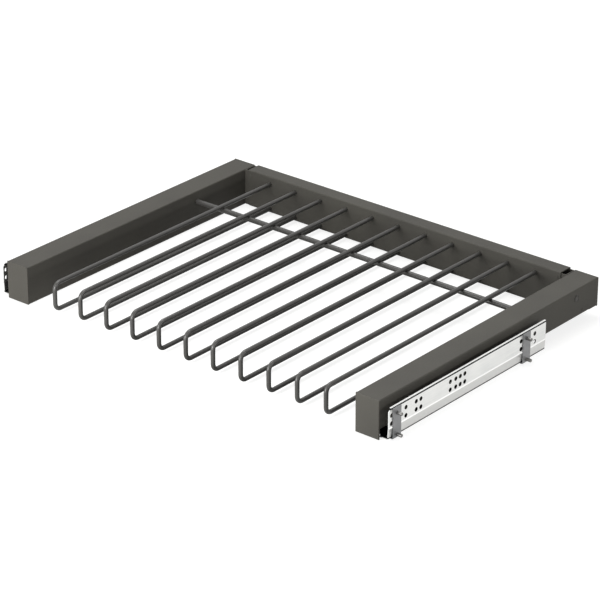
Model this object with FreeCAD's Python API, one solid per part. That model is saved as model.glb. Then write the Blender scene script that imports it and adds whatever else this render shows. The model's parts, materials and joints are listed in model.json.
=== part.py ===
import FreeCAD, Part
import math
import os

from FreeCAD import Vector

# Pull out trouser rack for a wardrobe: a three-sided frame of folded sheet steel that carries
# a row of U-shaped wire bars and runs out on two full-extension roller slides.
# Frame: X across the cabinet, Y from the front (-) to the back (+), Z up.
# The origin is under the middle of the rack, level with its lowest edge. Millimetres.

# ---------------------------------------------------------------- the whole rack
CABINET_WIDTH = 714.0       # clear width between the two cabinet walls
ARM_WALL_GAP = 15.0         # cabinet wall to the outside of the arm beside it
ARM_LENGTH = 500.0          # front face to rear face
ARM_HEIGHT = 58.0           # tops of the arms over the bottoms of their front caps
FASTENER_FIT = 0.05         # radial clearance of every screw, rivet, peg and plug in its hole

# ---------------------------------------------------------------- side arms
ARM_WIDTH = 40.0
ARM_SHEET = 1.2
ARM_BEND = 0.8              # inside radius of the folds
INNER_WALL_RISE = 0.5       # bottom of the wall that faces the trousers over the front cap's bottom
OUTER_WALL_RISE = 15.5      # bottom of the wall that faces the cabinet over the front cap's bottom

# ---------------------------------------------------------------- end caps of the arms
CAP_PLATE = 2.0
CAP_EDGE_RADIUS = 1.0
CAP_SHEET = 1.2
CAP_FIT = 0.1               # wing to the inside of the arm cover
FRONT_WING_LENGTH = 16.5
REAR_PLATE_DROP = 20.0      # the rear plate ends here, so that the slide can pass under it
REAR_WING_LENGTH = 43.0
REAR_WING_STEP = 19.0       # length of the deeper end of that wing, with the plate
REAR_WING_BELOW = 2.0       # how far that end reaches below the cover's outer wall
REAR_WING_ABOVE = 1.5       # how far the rest of the wing stays above that wall's edge
REAR_TONGUE_DROP = 11.0     # short inner wing
CAP_RIVET_RADIUS = 1.6
CAP_RIVET_HEAD = 2.2
CAP_RIVET_HEAD_HEIGHT = 0.6
CAP_RIVET_FROM_END = 8.0    # from the front end of the outer wing
CAP_RIVET_RISE = 3.5        # over the lower edge of the outer wing
PLUG_RADIUS = 5.0
PLUG_RIM = 0.6
PLUG_HEAD = 0.5
PLUG_DEPTH = 3.0
PLUG_FROM_REAR = 53.0
PLUG_DROP = 14.5

# ---------------------------------------------------------------- back rail
RAIL_RISE = 2.0             # top of the rail over the tops of the arms
RAIL_DEPTH = 25.0
RAIL_SHEET = 1.5
RAIL_BEND = 0.5
RAIL_REAR_LIP = 8.0         # short, so that a driver reaches the upper bar screws under it
RAIL_BOTTOM_LIP = 10.0
RAIL_END_GAP = 8.5          # rail end to the arm beside it

# ---------------------------------------------------------------- brackets between rail and arms
BRACKET_SHEET = 1.5
BRACKET_TOP_DROP = 0.5      # arm top to the top of the arm plate
BRACKET_BOTTOM = 2.5        # the plates inside the rail end here, over its bottom lip
BRACKET_END_FIT = 0.5       # rail end to the corner that reaches down beside it
BRACKET_REAR_FIT = 0.5      # rear plate to the rail's rear lip
BRACKET_TOP_FIT = 0.2       # plates inside the rail to the bend of the rail above them
BRACKET_SCREW_GAP = 1.5     # plate inside the rail to the head of a bar screw as near the arm as can be
BRACKET_BOLT_RADIUS = 2.5
BRACKET_BOLT_HEAD = 4.2
BRACKET_BOLT_HEAD_HEIGHT = 3.0
BRACKET_BOLT_HEIGHTS = (17.0, 38.0)
BRACKET_BOLT_BEHIND_FACE = 11.0
BRACKET_NUT_FLATS = 8.0
BRACKET_NUT_HEIGHT = 3.0
BRACKET_BOLT_END = 0.5      # bolt end past its nut
RAIL_RIVET_RADIUS = 1.5
RAIL_RIVET_HEAD = 2.2
RAIL_RIVET_HEAD_HEIGHT = 0.8
RAIL_RIVET_FROM_END = 5.5
RAIL_RIVET_FROM_TOP = 8.7

# ---------------------------------------------------------------- trouser bars
BAR_PITCH = 50.0
BAR_RADIUS = 3.0
BAR_BEND = 10.0             # centre line radius at the front of a loop
BAR_TOP_INSET = 12.3        # rail top to the centre line of the upper leg
BAR_BOTTOM_INSET = 6.7      # rail bottom to the centre line of the lower leg
BAR_FRONT_INSET = 0.0       # front of the loops behind the front of the arms
BAR_END_GAP = 30.0          # least clear gap between the last bar and the arm
BAR_SCREW_RADIUS = 2.0
BAR_SCREW_DEPTH = 12.0
BAR_SCREW_HEAD = 3.5
BAR_SCREW_HEAD_HEIGHT = 2.4

# ---------------------------------------------------------------- crossbar under the upper legs
CROSSBAR_RADIUS = 4.0
CROSSBAR_REST_GAP = 0.1     # between the crossbar and the legs that rest on it
CROSSBAR_WALL = 1.0
CROSSBAR_FROM_FRONT = 366.0
CROSSBAR_PLUG_LENGTH = 16.0
CROSSBAR_SCREW_RADIUS = 2.0
CROSSBAR_SCREW_DEPTH = 12.0
CROSSBAR_SCREW_HEAD = 3.8
CROSSBAR_SCREW_HEAD_HEIGHT = 2.4

# ---------------------------------------------------------------- slides
SLIDE_LENGTH = 350.0
SLIDE_FRONT_INSET = 4.0     # front of the slide behind the front of the arms
SLIDE_SHEET = 1.5
SLIDE_BEND = 0.6
PLATE_TOP_DROP = 9.5        # arm top to the top of the cabinet plate
PLATE_LIP = 3.5             # lip turned inward along the plate's top
PLATE_RIDGE_RISE = 16.5     # underside of the foot to where the plate starts to lean inward
PLATE_LEAN = 1.2            # how far it has leaned in at the bottom
PLATE_CORNER = 5.0          # chamfer on the plate's front top corner
FOOT_RISE = 2.5             # underside of the foot over the front cap's bottom
FOOT_INSET = 1.0            # inner edge of the foot from the inner side of the drawer member
FOOT_WALL = 17.0            # height of the wall turned up along that edge
FOOT_HOOK = 11.0            # width of the hook at the top of that wall
FOOT_NOTCH_RADIUS = 6.0
FOOT_NOTCH_INSET = 22.0     # notch centre from the plate face
ROLLER_RADIUS = 3.0
ROLLER_CLEARANCE = 0.15
ROLLER_END_MARGIN = 2.0     # roller end to the side of its cage
ROLLER_PITCH = 24.0
CAGE_LENGTH = 120.0
CAGE_START = 95.0           # behind the front of the arms, pushed in
CAGE_SIDE_MARGIN = 2.0      # side of a cage to the edge of the middle member
CAGE_THICKNESS = 4.0
CAGE_POCKET_FIT = 0.3
MIDDLE_SIDE_GAP = 4.0       # middle member to the outside of the drawer member, each side
MIDDLE_HEIGHT = 21.5
MIDDLE_REAR_INSET = 10.0    # rear end of the middle member in front of the slide's rear end
DRAWER_FRONT_INSET = 3.0
DRAWER_OUTER_GAP = 7.3      # outer wall of the arm to the drawer member
DRAWER_INNER_GAP = 4.3      # inner wall of the arm to the drawer member
DRAWER_DEPTH = 15.6
DRAWER_HOOK_CLEARANCE = 0.5  # outer hook to the web of the middle member
DRAWER_INNER_HOOK = 8.5
BUFFER_LENGTH = 7.0
BUFFER_WIDTH = 12.0
BUFFER_HEIGHT = 9.0
BUFFER_EDGE_RADIUS = 1.0
BUFFER_GAP = 0.3            # behind the middle member, pushed in

# ---------------------------------------------------------------- hole pattern of the cabinet plate
HOLE_RADIUS = 3.25
HOLE_UPPER_DROP = 11.0      # top of the plate to the upper row
HOLE_ROW_SPACING = 12.0
FRONT_HOLES = (5.5, 36.0, 58.0, 68.0)       # from the front end of the slide
MIDDLE_HOLES = (-43.0, -31.0, -21.0, -11.0)  # from the middle of the slide
REAR_HOLES = (58.0, 26.0)                   # from the rear end of the slide

# ---------------------------------------------------------------- peg brackets on the cabinet side
GRID_PITCH = 32.0           # pitch of the row of holes drilled in a cabinet wall
PEG_RADIUS = 2.5
PEG_LENGTH = 8.0
PEG_SHANK_RADIUS = 2.0
PEG_TIP = 0.6
PEG_RISE = 3.5              # lower pegs over the underside of the foot
PEG_FRONT_INSET = 20.0      # first column of pegs behind the front of the arms
PEG_REAR_MARGIN = 30.0      # least length of slide behind the rear bracket
STRAP_WIDTH = 17.0
STRAP_SHEET = 1.5
STRAP_OVER_PEG = 9.0        # top of the strap over its upper peg
STRAP_TAB = 12.0            # tab folded in under the foot

# ---------------------------------------------------------------- carriers between slide and arm
CARRIER_SHEET = 1.5
CARRIER_FLANGE = 4.0
CARRIER_LENGTHS = (60.0, 32.0)
CARRIER_FRONT_INSET = 20.0
CARRIER_REAR_INSET = 8.0
CARRIER_RIVET_RADIUS = 2.0
CARRIER_RIVET_HEAD = 3.2
CARRIER_RIVET_UPPER_HEAD = 1.2
CARRIER_RIVET_LOWER_HEAD = 0.6
CARRIER_RIVET_INSET = 8.0

# ---------------------------------------------------------------- places that follow from the sizes
FRONT = -ARM_LENGTH / 2
REAR = ARM_LENGTH / 2
ARM_OUTER = CABINET_WIDTH / 2 - ARM_WALL_GAP
ARM_INNER = ARM_OUTER - ARM_WIDTH
ARM_TOP = ARM_HEIGHT
ARM_CEILING = ARM_TOP - ARM_SHEET
RAIL_HEIGHT = ARM_HEIGHT + RAIL_RISE
RAIL_FACE = REAR - RAIL_DEPTH
RAIL_BACK_OF_FACE = RAIL_FACE + RAIL_SHEET
RAIL_END = ARM_INNER - RAIL_END_GAP
BRACKET_REACH = BAR_END_GAP + BAR_RADIUS - BAR_SCREW_HEAD - BRACKET_SCREW_GAP
BAR_LEG_HEIGHTS = (BAR_BOTTOM_INSET, RAIL_HEIGHT - BAR_TOP_INSET)
CROSSBAR_Y = FRONT + CROSSBAR_FROM_FRONT
CROSSBAR_HEIGHT = BAR_LEG_HEIGHTS[1] - BAR_RADIUS - CROSSBAR_REST_GAP - CROSSBAR_RADIUS
PLATE_FACE = CABINET_WIDTH / 2 - STRAP_SHEET
SLIDE_FRONT = FRONT + SLIDE_FRONT_INSET
SLIDE_REAR = SLIDE_FRONT + SLIDE_LENGTH
MIDDLE_REAR = SLIDE_REAR - MIDDLE_REAR_INSET
PLATE_TOP = ARM_TOP - PLATE_TOP_DROP
DRAWER_OUTER = PLATE_FACE - ARM_OUTER + ARM_SHEET + DRAWER_OUTER_GAP    # inward from the plate's face
DRAWER_INNER = PLATE_FACE - ARM_INNER - ARM_SHEET - DRAWER_INNER_GAP
MIDDLE_OUTER = DRAWER_OUTER + MIDDLE_SIDE_GAP
MIDDLE_INNER = DRAWER_INNER - MIDDLE_SIDE_GAP
RUN_LINE = PLATE_FACE - (MIDDLE_OUTER + MIDDLE_INNER) / 2               # X of the rollers' middle
FOOT_WIDTH = DRAWER_INNER - FOOT_INSET
CAGE_WIDTH = MIDDLE_INNER - MIDDLE_OUTER - 2 * CAGE_SIDE_MARGIN
ROLLER_LENGTH = CAGE_WIDTH - 2 * ROLLER_END_MARGIN
FOOT_BOTTOM = FOOT_RISE
FOOT_TOP = FOOT_BOTTOM + SLIDE_SHEET
ROLLER_SPACE = 2 * (ROLLER_RADIUS + ROLLER_CLEARANCE)
MIDDLE_BOTTOM = FOOT_TOP + ROLLER_SPACE
MIDDLE_TOP = MIDDLE_BOTTOM + MIDDLE_HEIGHT
DRAWER_TOP = MIDDLE_TOP + ROLLER_SPACE + SLIDE_SHEET
PEG_STEPS = int((SLIDE_FRONT_INSET + SLIDE_LENGTH - PEG_FRONT_INSET - PEG_REAR_MARGIN) / GRID_PITCH)
PEG_COLUMNS = (FRONT + PEG_FRONT_INSET, FRONT + PEG_FRONT_INSET + PEG_STEPS * GRID_PITCH)
PEG_HEIGHTS = (FOOT_BOTTOM + PEG_RISE, FOOT_BOTTOM + PEG_RISE + GRID_PITCH)

X_AXIS = Vector(1, 0, 0)
Y_AXIS = Vector(0, 1, 0)
Z_AXIS = Vector(0, 0, 1)

nodes = {}


# ---------------------------------------------------------------- building blocks
def box(x, y, z):
    """Block between two X, two Y and two Z planes."""
    low = Vector(min(x), min(y), min(z))
    return Part.makeBox(abs(x[1] - x[0]), abs(y[1] - y[0]), abs(z[1] - z[0]), low)


def about(middle, width):
    """The two planes a width apart with the middle between them."""
    return (middle - width / 2, middle + width / 2)


def rod(start, end, radius):
    """Round rod between two points."""
    return Part.makeCylinder(radius, (end - start).Length, start, end - start)


def joined(shapes):
    """One solid out of shapes that touch or overlap."""
    whole = shapes[0]
    for shape in shapes[1:]:
        whole = whole.fuse(shape)
    return whole.removeSplitter()


def without(shape, cuts):
    """The shape with every cutter taken away."""
    return shape.cut(Part.makeCompound(cuts))


def unit(a, b):
    """Direction from one 2-D point to another."""
    length = math.hypot(b[0] - a[0], b[1] - a[1])
    return ((b[0] - a[0]) / length, (b[1] - a[1]) / length)


def fold_face(path, thickness, bend, place):
    """Cross-section of a folded sheet that lies to the left of the path.

    The path runs along one face of the sheet with sharp corners. Each corner becomes a bend
    with the given inside radius. place turns a 2-D point of the section into a 3-D one.
    """
    near = []
    far = []
    first = unit(path[0], path[1])
    near.append(("line", path[0]))
    far.append(("line", (path[0][0] - first[1] * thickness, path[0][1] + first[0] * thickness)))
    for i in range(1, len(path) - 1):
        before = unit(path[i - 1], path[i])
        after = unit(path[i], path[i + 1])
        turn = math.atan2(before[0] * after[1] - before[1] * after[0],
                          before[0] * after[0] + before[1] * after[1])
        left = turn > 0
        near_radius = bend + thickness if left else bend
        far_radius = bend if left else bend + thickness
        trim = near_radius * math.tan(abs(turn) / 2)
        side = 1 if left else -1
        start = (path[i][0] - before[0] * trim, path[i][1] - before[1] * trim)
        stop = (path[i][0] + after[0] * trim, path[i][1] + after[1] * trim)
        centre = (start[0] - side * before[1] * near_radius, start[1] + side * before[0] * near_radius)
        outward = unit(centre, path[i])
        for track, radius in ((near, near_radius), (far, far_radius)):
            spoke = (unit(centre, start), outward, unit(centre, stop))
            on_start, middle, on_stop = [(centre[0] + dx * radius, centre[1] + dy * radius) for dx, dy in spoke]
            track.append(("line", on_start))
            track.append(("arc", on_stop, middle))
    last = unit(path[-2], path[-1])
    near.append(("line", path[-1]))
    far.append(("line", (path[-1][0] - last[1] * thickness, path[-1][1] + last[0] * thickness)))

    edges = []
    for track in (near, far):
        for start, step in zip(track, track[1:]):
            a = place(*start[1])
            b = place(*step[1])
            if step[0] == "arc":
                edges.append(Part.Arc(a, place(*step[2]), b).toShape())
            else:
                edges.append(Part.LineSegment(a, b).toShape())
    for k in (0, -1):
        edges.append(Part.LineSegment(place(*near[k][1]), place(*far[k][1])).toShape())
    return Part.Face(Part.Wire(Part.__sortEdges__(edges)))


def folded_along_y(path, thickness, bend, y0, y1):
    """Folded sheet with its section in X and Z, running along Y."""
    face = fold_face(path, thickness, bend, lambda x, z: Vector(x, y0, z))
    return face.extrude(Vector(0, y1 - y0, 0))


def folded_along_x(path, thickness, bend, x0, x1):
    """Folded sheet with its section in Y and Z, running along X."""
    face = fold_face(path, thickness, bend, lambda y, z: Vector(x0, y, z))
    return face.extrude(Vector(x1 - x0, 0, 0))


def slide_sheet(section, thickness, y0, y1):
    """Folded piece of the right slide. Its section counts inward from the cabinet plate's face."""
    face = fold_face(section, thickness, SLIDE_BEND, lambda inward, z: Vector(PLATE_FACE - inward, y0, z))
    return face.extrude(Vector(0, y1 - y0, 0))


def hexagon(centre, flats, height):
    """Hexagonal prism along X that starts at centre, with two level flats."""
    corner = flats / math.sqrt(3)
    points = []
    for k in range(7):
        angle = math.radians(60 * k)
        points.append(centre + Vector(0, corner * math.cos(angle), corner * math.sin(angle)))
    return Part.Face(Part.makePolygon(points)).extrude(X_AXIS * height)


def group(shapes):
    """Several separate solids that share one node."""
    solids = []
    for shape in shapes:
        solids.extend(shape.Solids)
    return Part.makeCompound(solids)


def mirrored(shape):
    """The same piece on the left-hand side."""
    return shape.mirror(Vector(0, 0, 0), X_AXIS)


def on_both_sides(name, shape):
    """One node for the right-hand piece and one for its mirror image."""
    nodes["right_" + name] = shape
    nodes["left_" + name] = mirrored(shape)


# ---------------------------------------------------------------- side arms
def arm_cover():
    """Channel open downwards, with a short outer wall that hangs inside the cabinet plate."""
    section = [(ARM_OUTER, OUTER_WALL_RISE), (ARM_OUTER, ARM_TOP),
               (ARM_INNER, ARM_TOP), (ARM_INNER, INNER_WALL_RISE)]
    cover = folded_along_y(section, ARM_SHEET, ARM_BEND, FRONT + CAP_PLATE, REAR - CAP_PLATE)
    near = ARM_INNER - ARM_SHEET
    far = ARM_INNER + 2 * ARM_SHEET
    bolt_hole = BRACKET_BOLT_RADIUS + FASTENER_FIT
    cuts = [rod(Vector(near, y, z), Vector(far, y, z), bolt_hole) for y, z in bracket_bolt_places()]
    cuts.append(rod(Vector(near, CROSSBAR_Y, CROSSBAR_HEIGHT), Vector(far, CROSSBAR_Y, CROSSBAR_HEIGHT),
                    CROSSBAR_SCREW_RADIUS + FASTENER_FIT))
    return without(cover, cuts + outer_wall_holes())


def plug_place():
    """Y and Z of the access plug."""
    return (REAR - PLUG_FROM_REAR, ARM_TOP - PLUG_DROP)


def cap_rivet_place():
    """Y and Z of the rivet near the front end of the rear cap's outer wing."""
    return (REAR - CAP_PLATE - REAR_WING_LENGTH + CAP_RIVET_FROM_END,
            OUTER_WALL_RISE + REAR_WING_ABOVE + CAP_RIVET_RISE)


def outer_wall_holes():
    """Cutters for the holes in the arm's outer wall and in what lies against it inside."""
    outside = ARM_OUTER + ARM_SHEET
    inside = ARM_OUTER - 2 * (ARM_SHEET + CAP_FIT + CAP_SHEET)
    holes = ((plug_place(), PLUG_RADIUS), (cap_rivet_place(), CAP_RIVET_RADIUS + FASTENER_FIT))
    return [rod(Vector(outside, *place), Vector(inside, *place), radius) for place, radius in holes]


def cap_wing(outer, y, z):
    """Sheet that lies against the inside of one wall of the arm cover."""
    if outer:
        face = ARM_OUTER - ARM_SHEET - CAP_FIT
        return box((face - CAP_SHEET, face), y, z)
    face = ARM_INNER + ARM_SHEET + CAP_FIT
    return box((face, face + CAP_SHEET), y, z)


def front_cap():
    """Plate over the arm's front end, with two wings that push into the cover."""
    plate = box((ARM_INNER, ARM_OUTER), (FRONT, FRONT + CAP_PLATE), (0, ARM_TOP))
    rims = [edge for edge in plate.Edges if is_front_rim(edge)]
    plate = plate.makeFillet(CAP_EDGE_RADIUS, rims)
    back = FRONT + CAP_PLATE
    wing_top = ARM_CEILING - ARM_BEND - CAP_FIT
    inner = cap_wing(False, (back, back + FRONT_WING_LENGTH), (0, wing_top))
    outer = cap_wing(True, (back, back + FRONT_WING_LENGTH), (OUTER_WALL_RISE, wing_top))
    return joined([plate, inner, outer])


def is_front_rim(edge):
    """The two upright edges and the top edge of a cap's front face."""
    middle = edge.CenterOfMass
    upright = abs(abs(middle.x - (ARM_INNER + ARM_OUTER) / 2) - ARM_WIDTH / 2) < 1e-6
    return abs(middle.y - FRONT) < 1e-6 and (upright or abs(middle.z - ARM_TOP) < 1e-6)


def rear_cap():
    """Plate over the top of the arm's rear end, with a long outer wing and a short tongue."""
    plate = box((ARM_INNER, ARM_OUTER), (REAR - CAP_PLATE, REAR), (ARM_TOP - REAR_PLATE_DROP, ARM_TOP))
    back = REAR - CAP_PLATE
    wing_top = ARM_CEILING - ARM_BEND - CAP_FIT
    low = OUTER_WALL_RISE - REAR_WING_BELOW
    wing = cap_wing(True, (back - REAR_WING_LENGTH, back), (OUTER_WALL_RISE + REAR_WING_ABOVE, wing_top))
    step = cap_wing(True, (REAR - REAR_WING_STEP, back), (low, wing_top))
    post = box((ARM_OUTER - ARM_SHEET - CAP_FIT - CAP_SHEET, ARM_OUTER), (back, REAR),
               (low, ARM_TOP - REAR_PLATE_DROP))
    tongue = cap_wing(False, (REAR - REAR_WING_STEP, back), (ARM_TOP - REAR_TONGUE_DROP, wing_top))
    cap = joined([plate, wing, step, post, tongue])
    return without(cap, outer_wall_holes())


def cap_rivet():
    """Rivet that holds the rear cap's outer wing to the arm's outer wall."""
    y, z = cap_rivet_place()
    inside = ARM_OUTER - ARM_SHEET - CAP_FIT - CAP_SHEET
    head = rod(Vector(ARM_OUTER, y, z), Vector(ARM_OUTER + CAP_RIVET_HEAD_HEIGHT, y, z), CAP_RIVET_HEAD)
    shank = rod(Vector(inside, y, z), Vector(ARM_OUTER, y, z), CAP_RIVET_RADIUS)
    tail = rod(Vector(inside - CAP_RIVET_HEAD_HEIGHT, y, z), Vector(inside, y, z), CAP_RIVET_HEAD)
    return joined([head, shank, tail])


def access_plug():
    """Snap-in plug over the hole that lets a driver reach the crossbar and rail screws."""
    y, z = plug_place()
    head = rod(Vector(ARM_OUTER, y, z), Vector(ARM_OUTER + PLUG_HEAD, y, z), PLUG_RADIUS + PLUG_RIM)
    body = rod(Vector(ARM_OUTER - PLUG_DEPTH, y, z), Vector(ARM_OUTER, y, z), PLUG_RADIUS - FASTENER_FIT)
    return joined([head, body])


# ---------------------------------------------------------------- back rail and its brackets
def bar_places():
    """X of every trouser bar: as many at the pitch as the space between the arms takes."""
    room = 2 * (ARM_INNER - BAR_END_GAP - BAR_RADIUS)
    gaps = int(room / BAR_PITCH)
    return [(k - gaps / 2) * BAR_PITCH for k in range(gaps + 1)]


def back_rail():
    """Folded channel: a tall front face, a flange over the top and two stiffening lips."""
    section = [(REAR, RAIL_HEIGHT - RAIL_REAR_LIP), (REAR, RAIL_HEIGHT), (RAIL_FACE, RAIL_HEIGHT),
               (RAIL_FACE, 0), (RAIL_FACE + RAIL_BOTTOM_LIP, 0)]
    rail = folded_along_x(section, RAIL_SHEET, RAIL_BEND, -RAIL_END, RAIL_END)
    cuts = []
    for x in bar_places():
        for z in BAR_LEG_HEIGHTS:
            cuts.append(through_rail_face(x, z, BAR_SCREW_RADIUS + FASTENER_FIT))
    for x in (-rail_rivet_x(), rail_rivet_x()):
        cuts.append(through_rail_face(x, rail_rivet_z(), RAIL_RIVET_RADIUS + FASTENER_FIT))
    return without(rail, cuts)


def through_rail_face(x, z, radius):
    """Cutter for a round hole in the rail's front face and the bracket plate behind it."""
    front = Vector(x, RAIL_FACE - RAIL_SHEET, z)
    return rod(front, front + Y_AXIS * (3 * RAIL_SHEET + BRACKET_SHEET), radius)


def rail_rivet_x():
    return RAIL_END - RAIL_RIVET_FROM_END


def rail_rivet_z():
    return RAIL_HEIGHT - RAIL_RIVET_FROM_TOP


def bracket_bolt_places():
    """Y and Z of the bolts that go through the bracket and the arm's inner wall."""
    y = RAIL_FACE + BRACKET_BOLT_BEHIND_FACE
    return [(y, z) for z in BRACKET_BOLT_HEIGHTS]


def rail_bracket():
    """Folded plate on the arm's inner wall, with one side behind the rail's face and one at its rear lip."""
    front = RAIL_BACK_OF_FACE
    rear = REAR - RAIL_SHEET - BRACKET_REAR_FIT
    inside_rail = (ARM_INNER - BRACKET_REACH, ARM_INNER - BRACKET_SHEET)
    heights = (BRACKET_BOTTOM, RAIL_HEIGHT - RAIL_SHEET - RAIL_BEND - BRACKET_TOP_FIT)
    arm_plate = box((ARM_INNER - BRACKET_SHEET, ARM_INNER), (front, rear),
                    (INNER_WALL_RISE, ARM_TOP - BRACKET_TOP_DROP))
    rail_plate = box(inside_rail, (front, front + BRACKET_SHEET), heights)
    corner = box((RAIL_END + BRACKET_END_FIT, ARM_INNER - BRACKET_SHEET), (front, front + BRACKET_SHEET),
                 (INNER_WALL_RISE, heights[1]))
    rear_plate = box(inside_rail, (rear - BRACKET_SHEET, rear), heights)
    bracket = joined([arm_plate, rail_plate, corner, rear_plate])
    cuts = [rod(Vector(ARM_INNER - 2 * BRACKET_SHEET, y, z), Vector(ARM_INNER + BRACKET_SHEET, y, z),
                BRACKET_BOLT_RADIUS + FASTENER_FIT) for y, z in bracket_bolt_places()]
    cuts.append(through_rail_face(rail_rivet_x(), rail_rivet_z(), RAIL_RIVET_RADIUS + FASTENER_FIT))
    return without(bracket, cuts)


def bracket_bolts():
    """Bolts with round heads on the bracket side."""
    face = ARM_INNER - BRACKET_SHEET
    end = ARM_INNER + ARM_SHEET + BRACKET_NUT_HEIGHT + BRACKET_BOLT_END
    bolts = []
    for y, z in bracket_bolt_places():
        head = rod(Vector(face - BRACKET_BOLT_HEAD_HEIGHT, y, z), Vector(face, y, z), BRACKET_BOLT_HEAD)
        shank = rod(Vector(face, y, z), Vector(end, y, z), BRACKET_BOLT_RADIUS)
        bolts.append(joined([head, shank]))
    return bolts


def bracket_nuts():
    """Hexagon nuts inside the arm."""
    nuts = []
    for y, z in bracket_bolt_places():
        seat = Vector(ARM_INNER + ARM_SHEET, y, z)
        far = seat + X_AXIS * (BRACKET_NUT_HEIGHT + 1)
        nut = hexagon(seat, BRACKET_NUT_FLATS, BRACKET_NUT_HEIGHT)
        nuts.append(nut.cut(rod(seat - X_AXIS, far, BRACKET_BOLT_RADIUS + FASTENER_FIT)))
    return nuts


def rail_rivet():
    """Rivet through the rail's face and the bracket plate."""
    x = rail_rivet_x()
    z = rail_rivet_z()
    back = RAIL_BACK_OF_FACE + BRACKET_SHEET
    head = rod(Vector(x, RAIL_FACE - RAIL_RIVET_HEAD_HEIGHT, z), Vector(x, RAIL_FACE, z), RAIL_RIVET_HEAD)
    shank = rod(Vector(x, RAIL_FACE, z), Vector(x, back, z), RAIL_RIVET_RADIUS)
    tail = rod(Vector(x, back, z), Vector(x, back + RAIL_RIVET_HEAD_HEIGHT, z), RAIL_RIVET_HEAD)
    return joined([head, shank, tail])


# ---------------------------------------------------------------- trouser bars and crossbar
def trouser_bar(x):
    """Round wire bent to a U that lies on its side, tapped at both ends."""
    front = FRONT + BAR_FRONT_INSET + BAR_RADIUS
    lower, upper = BAR_LEG_HEIGHTS
    knee = BAR_BEND * (1 - math.sqrt(0.5))
    path = Part.Wire([
        Part.LineSegment(Vector(x, RAIL_FACE, upper), Vector(x, front + BAR_BEND, upper)).toShape(),
        Part.Arc(Vector(x, front + BAR_BEND, upper), Vector(x, front + knee, upper - knee),
                 Vector(x, front, upper - BAR_BEND)).toShape(),
        Part.LineSegment(Vector(x, front, upper - BAR_BEND), Vector(x, front, lower + BAR_BEND)).toShape(),
        Part.Arc(Vector(x, front, lower + BAR_BEND), Vector(x, front + knee, lower + knee),
                 Vector(x, front + BAR_BEND, lower)).toShape(),
        Part.LineSegment(Vector(x, front + BAR_BEND, lower), Vector(x, RAIL_FACE, lower)).toShape()])
    ring = Part.Wire(Part.makeCircle(BAR_RADIUS, Vector(x, RAIL_FACE, upper), Y_AXIS))
    bar = path.makePipeShell([ring], True, True)
    holes = [rod(Vector(x, RAIL_FACE - BAR_SCREW_DEPTH, z), Vector(x, RAIL_FACE + 1, z),
                 BAR_SCREW_RADIUS + FASTENER_FIT) for z in BAR_LEG_HEIGHTS]
    return without(bar, holes)


def bar_screws():
    """Screws from behind the rail into the ends of the bars."""
    screws = []
    for x in bar_places():
        for z in BAR_LEG_HEIGHTS:
            shank = rod(Vector(x, RAIL_FACE - BAR_SCREW_DEPTH + 1, z), Vector(x, RAIL_BACK_OF_FACE, z),
                        BAR_SCREW_RADIUS)
            head = rod(Vector(x, RAIL_BACK_OF_FACE, z),
                       Vector(x, RAIL_BACK_OF_FACE + BAR_SCREW_HEAD_HEIGHT, z), BAR_SCREW_HEAD)
            screws.append(joined([shank, head]))
    return screws


def crossbar():
    """Round tube from arm to arm that the upper legs of all the bars rest on."""
    left = Vector(-ARM_INNER, CROSSBAR_Y, CROSSBAR_HEIGHT)
    right = Vector(ARM_INNER, CROSSBAR_Y, CROSSBAR_HEIGHT)
    return rod(left, right, CROSSBAR_RADIUS).cut(rod(left, right, CROSSBAR_RADIUS - CROSSBAR_WALL))


def crossbar_plug():
    """Tapped plug pressed into the end of the crossbar."""
    end = Vector(ARM_INNER, CROSSBAR_Y, CROSSBAR_HEIGHT)
    plug = rod(end - X_AXIS * CROSSBAR_PLUG_LENGTH, end, CROSSBAR_RADIUS - CROSSBAR_WALL)
    thread = rod(end - X_AXIS * CROSSBAR_SCREW_DEPTH, end + X_AXIS, CROSSBAR_SCREW_RADIUS + FASTENER_FIT)
    return plug.cut(thread)


def crossbar_screw():
    """Screw from inside the arm into that plug."""
    end = Vector(ARM_INNER, CROSSBAR_Y, CROSSBAR_HEIGHT)
    seat = end + X_AXIS * ARM_SHEET
    shank = rod(end - X_AXIS * (CROSSBAR_SCREW_DEPTH - 1), seat, CROSSBAR_SCREW_RADIUS)
    head = rod(seat, seat + X_AXIS * CROSSBAR_SCREW_HEAD_HEIGHT, CROSSBAR_SCREW_HEAD)
    return joined([shank, head])


# ---------------------------------------------------------------- slides
def plate_hole_columns():
    """Y of every column of holes in the cabinet plate."""
    middle = (SLIDE_FRONT + SLIDE_REAR) / 2
    columns = [SLIDE_FRONT + step for step in FRONT_HOLES]
    columns += [middle + step for step in MIDDLE_HOLES]
    columns += [SLIDE_REAR - step for step in REAR_HOLES]
    return columns


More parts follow.
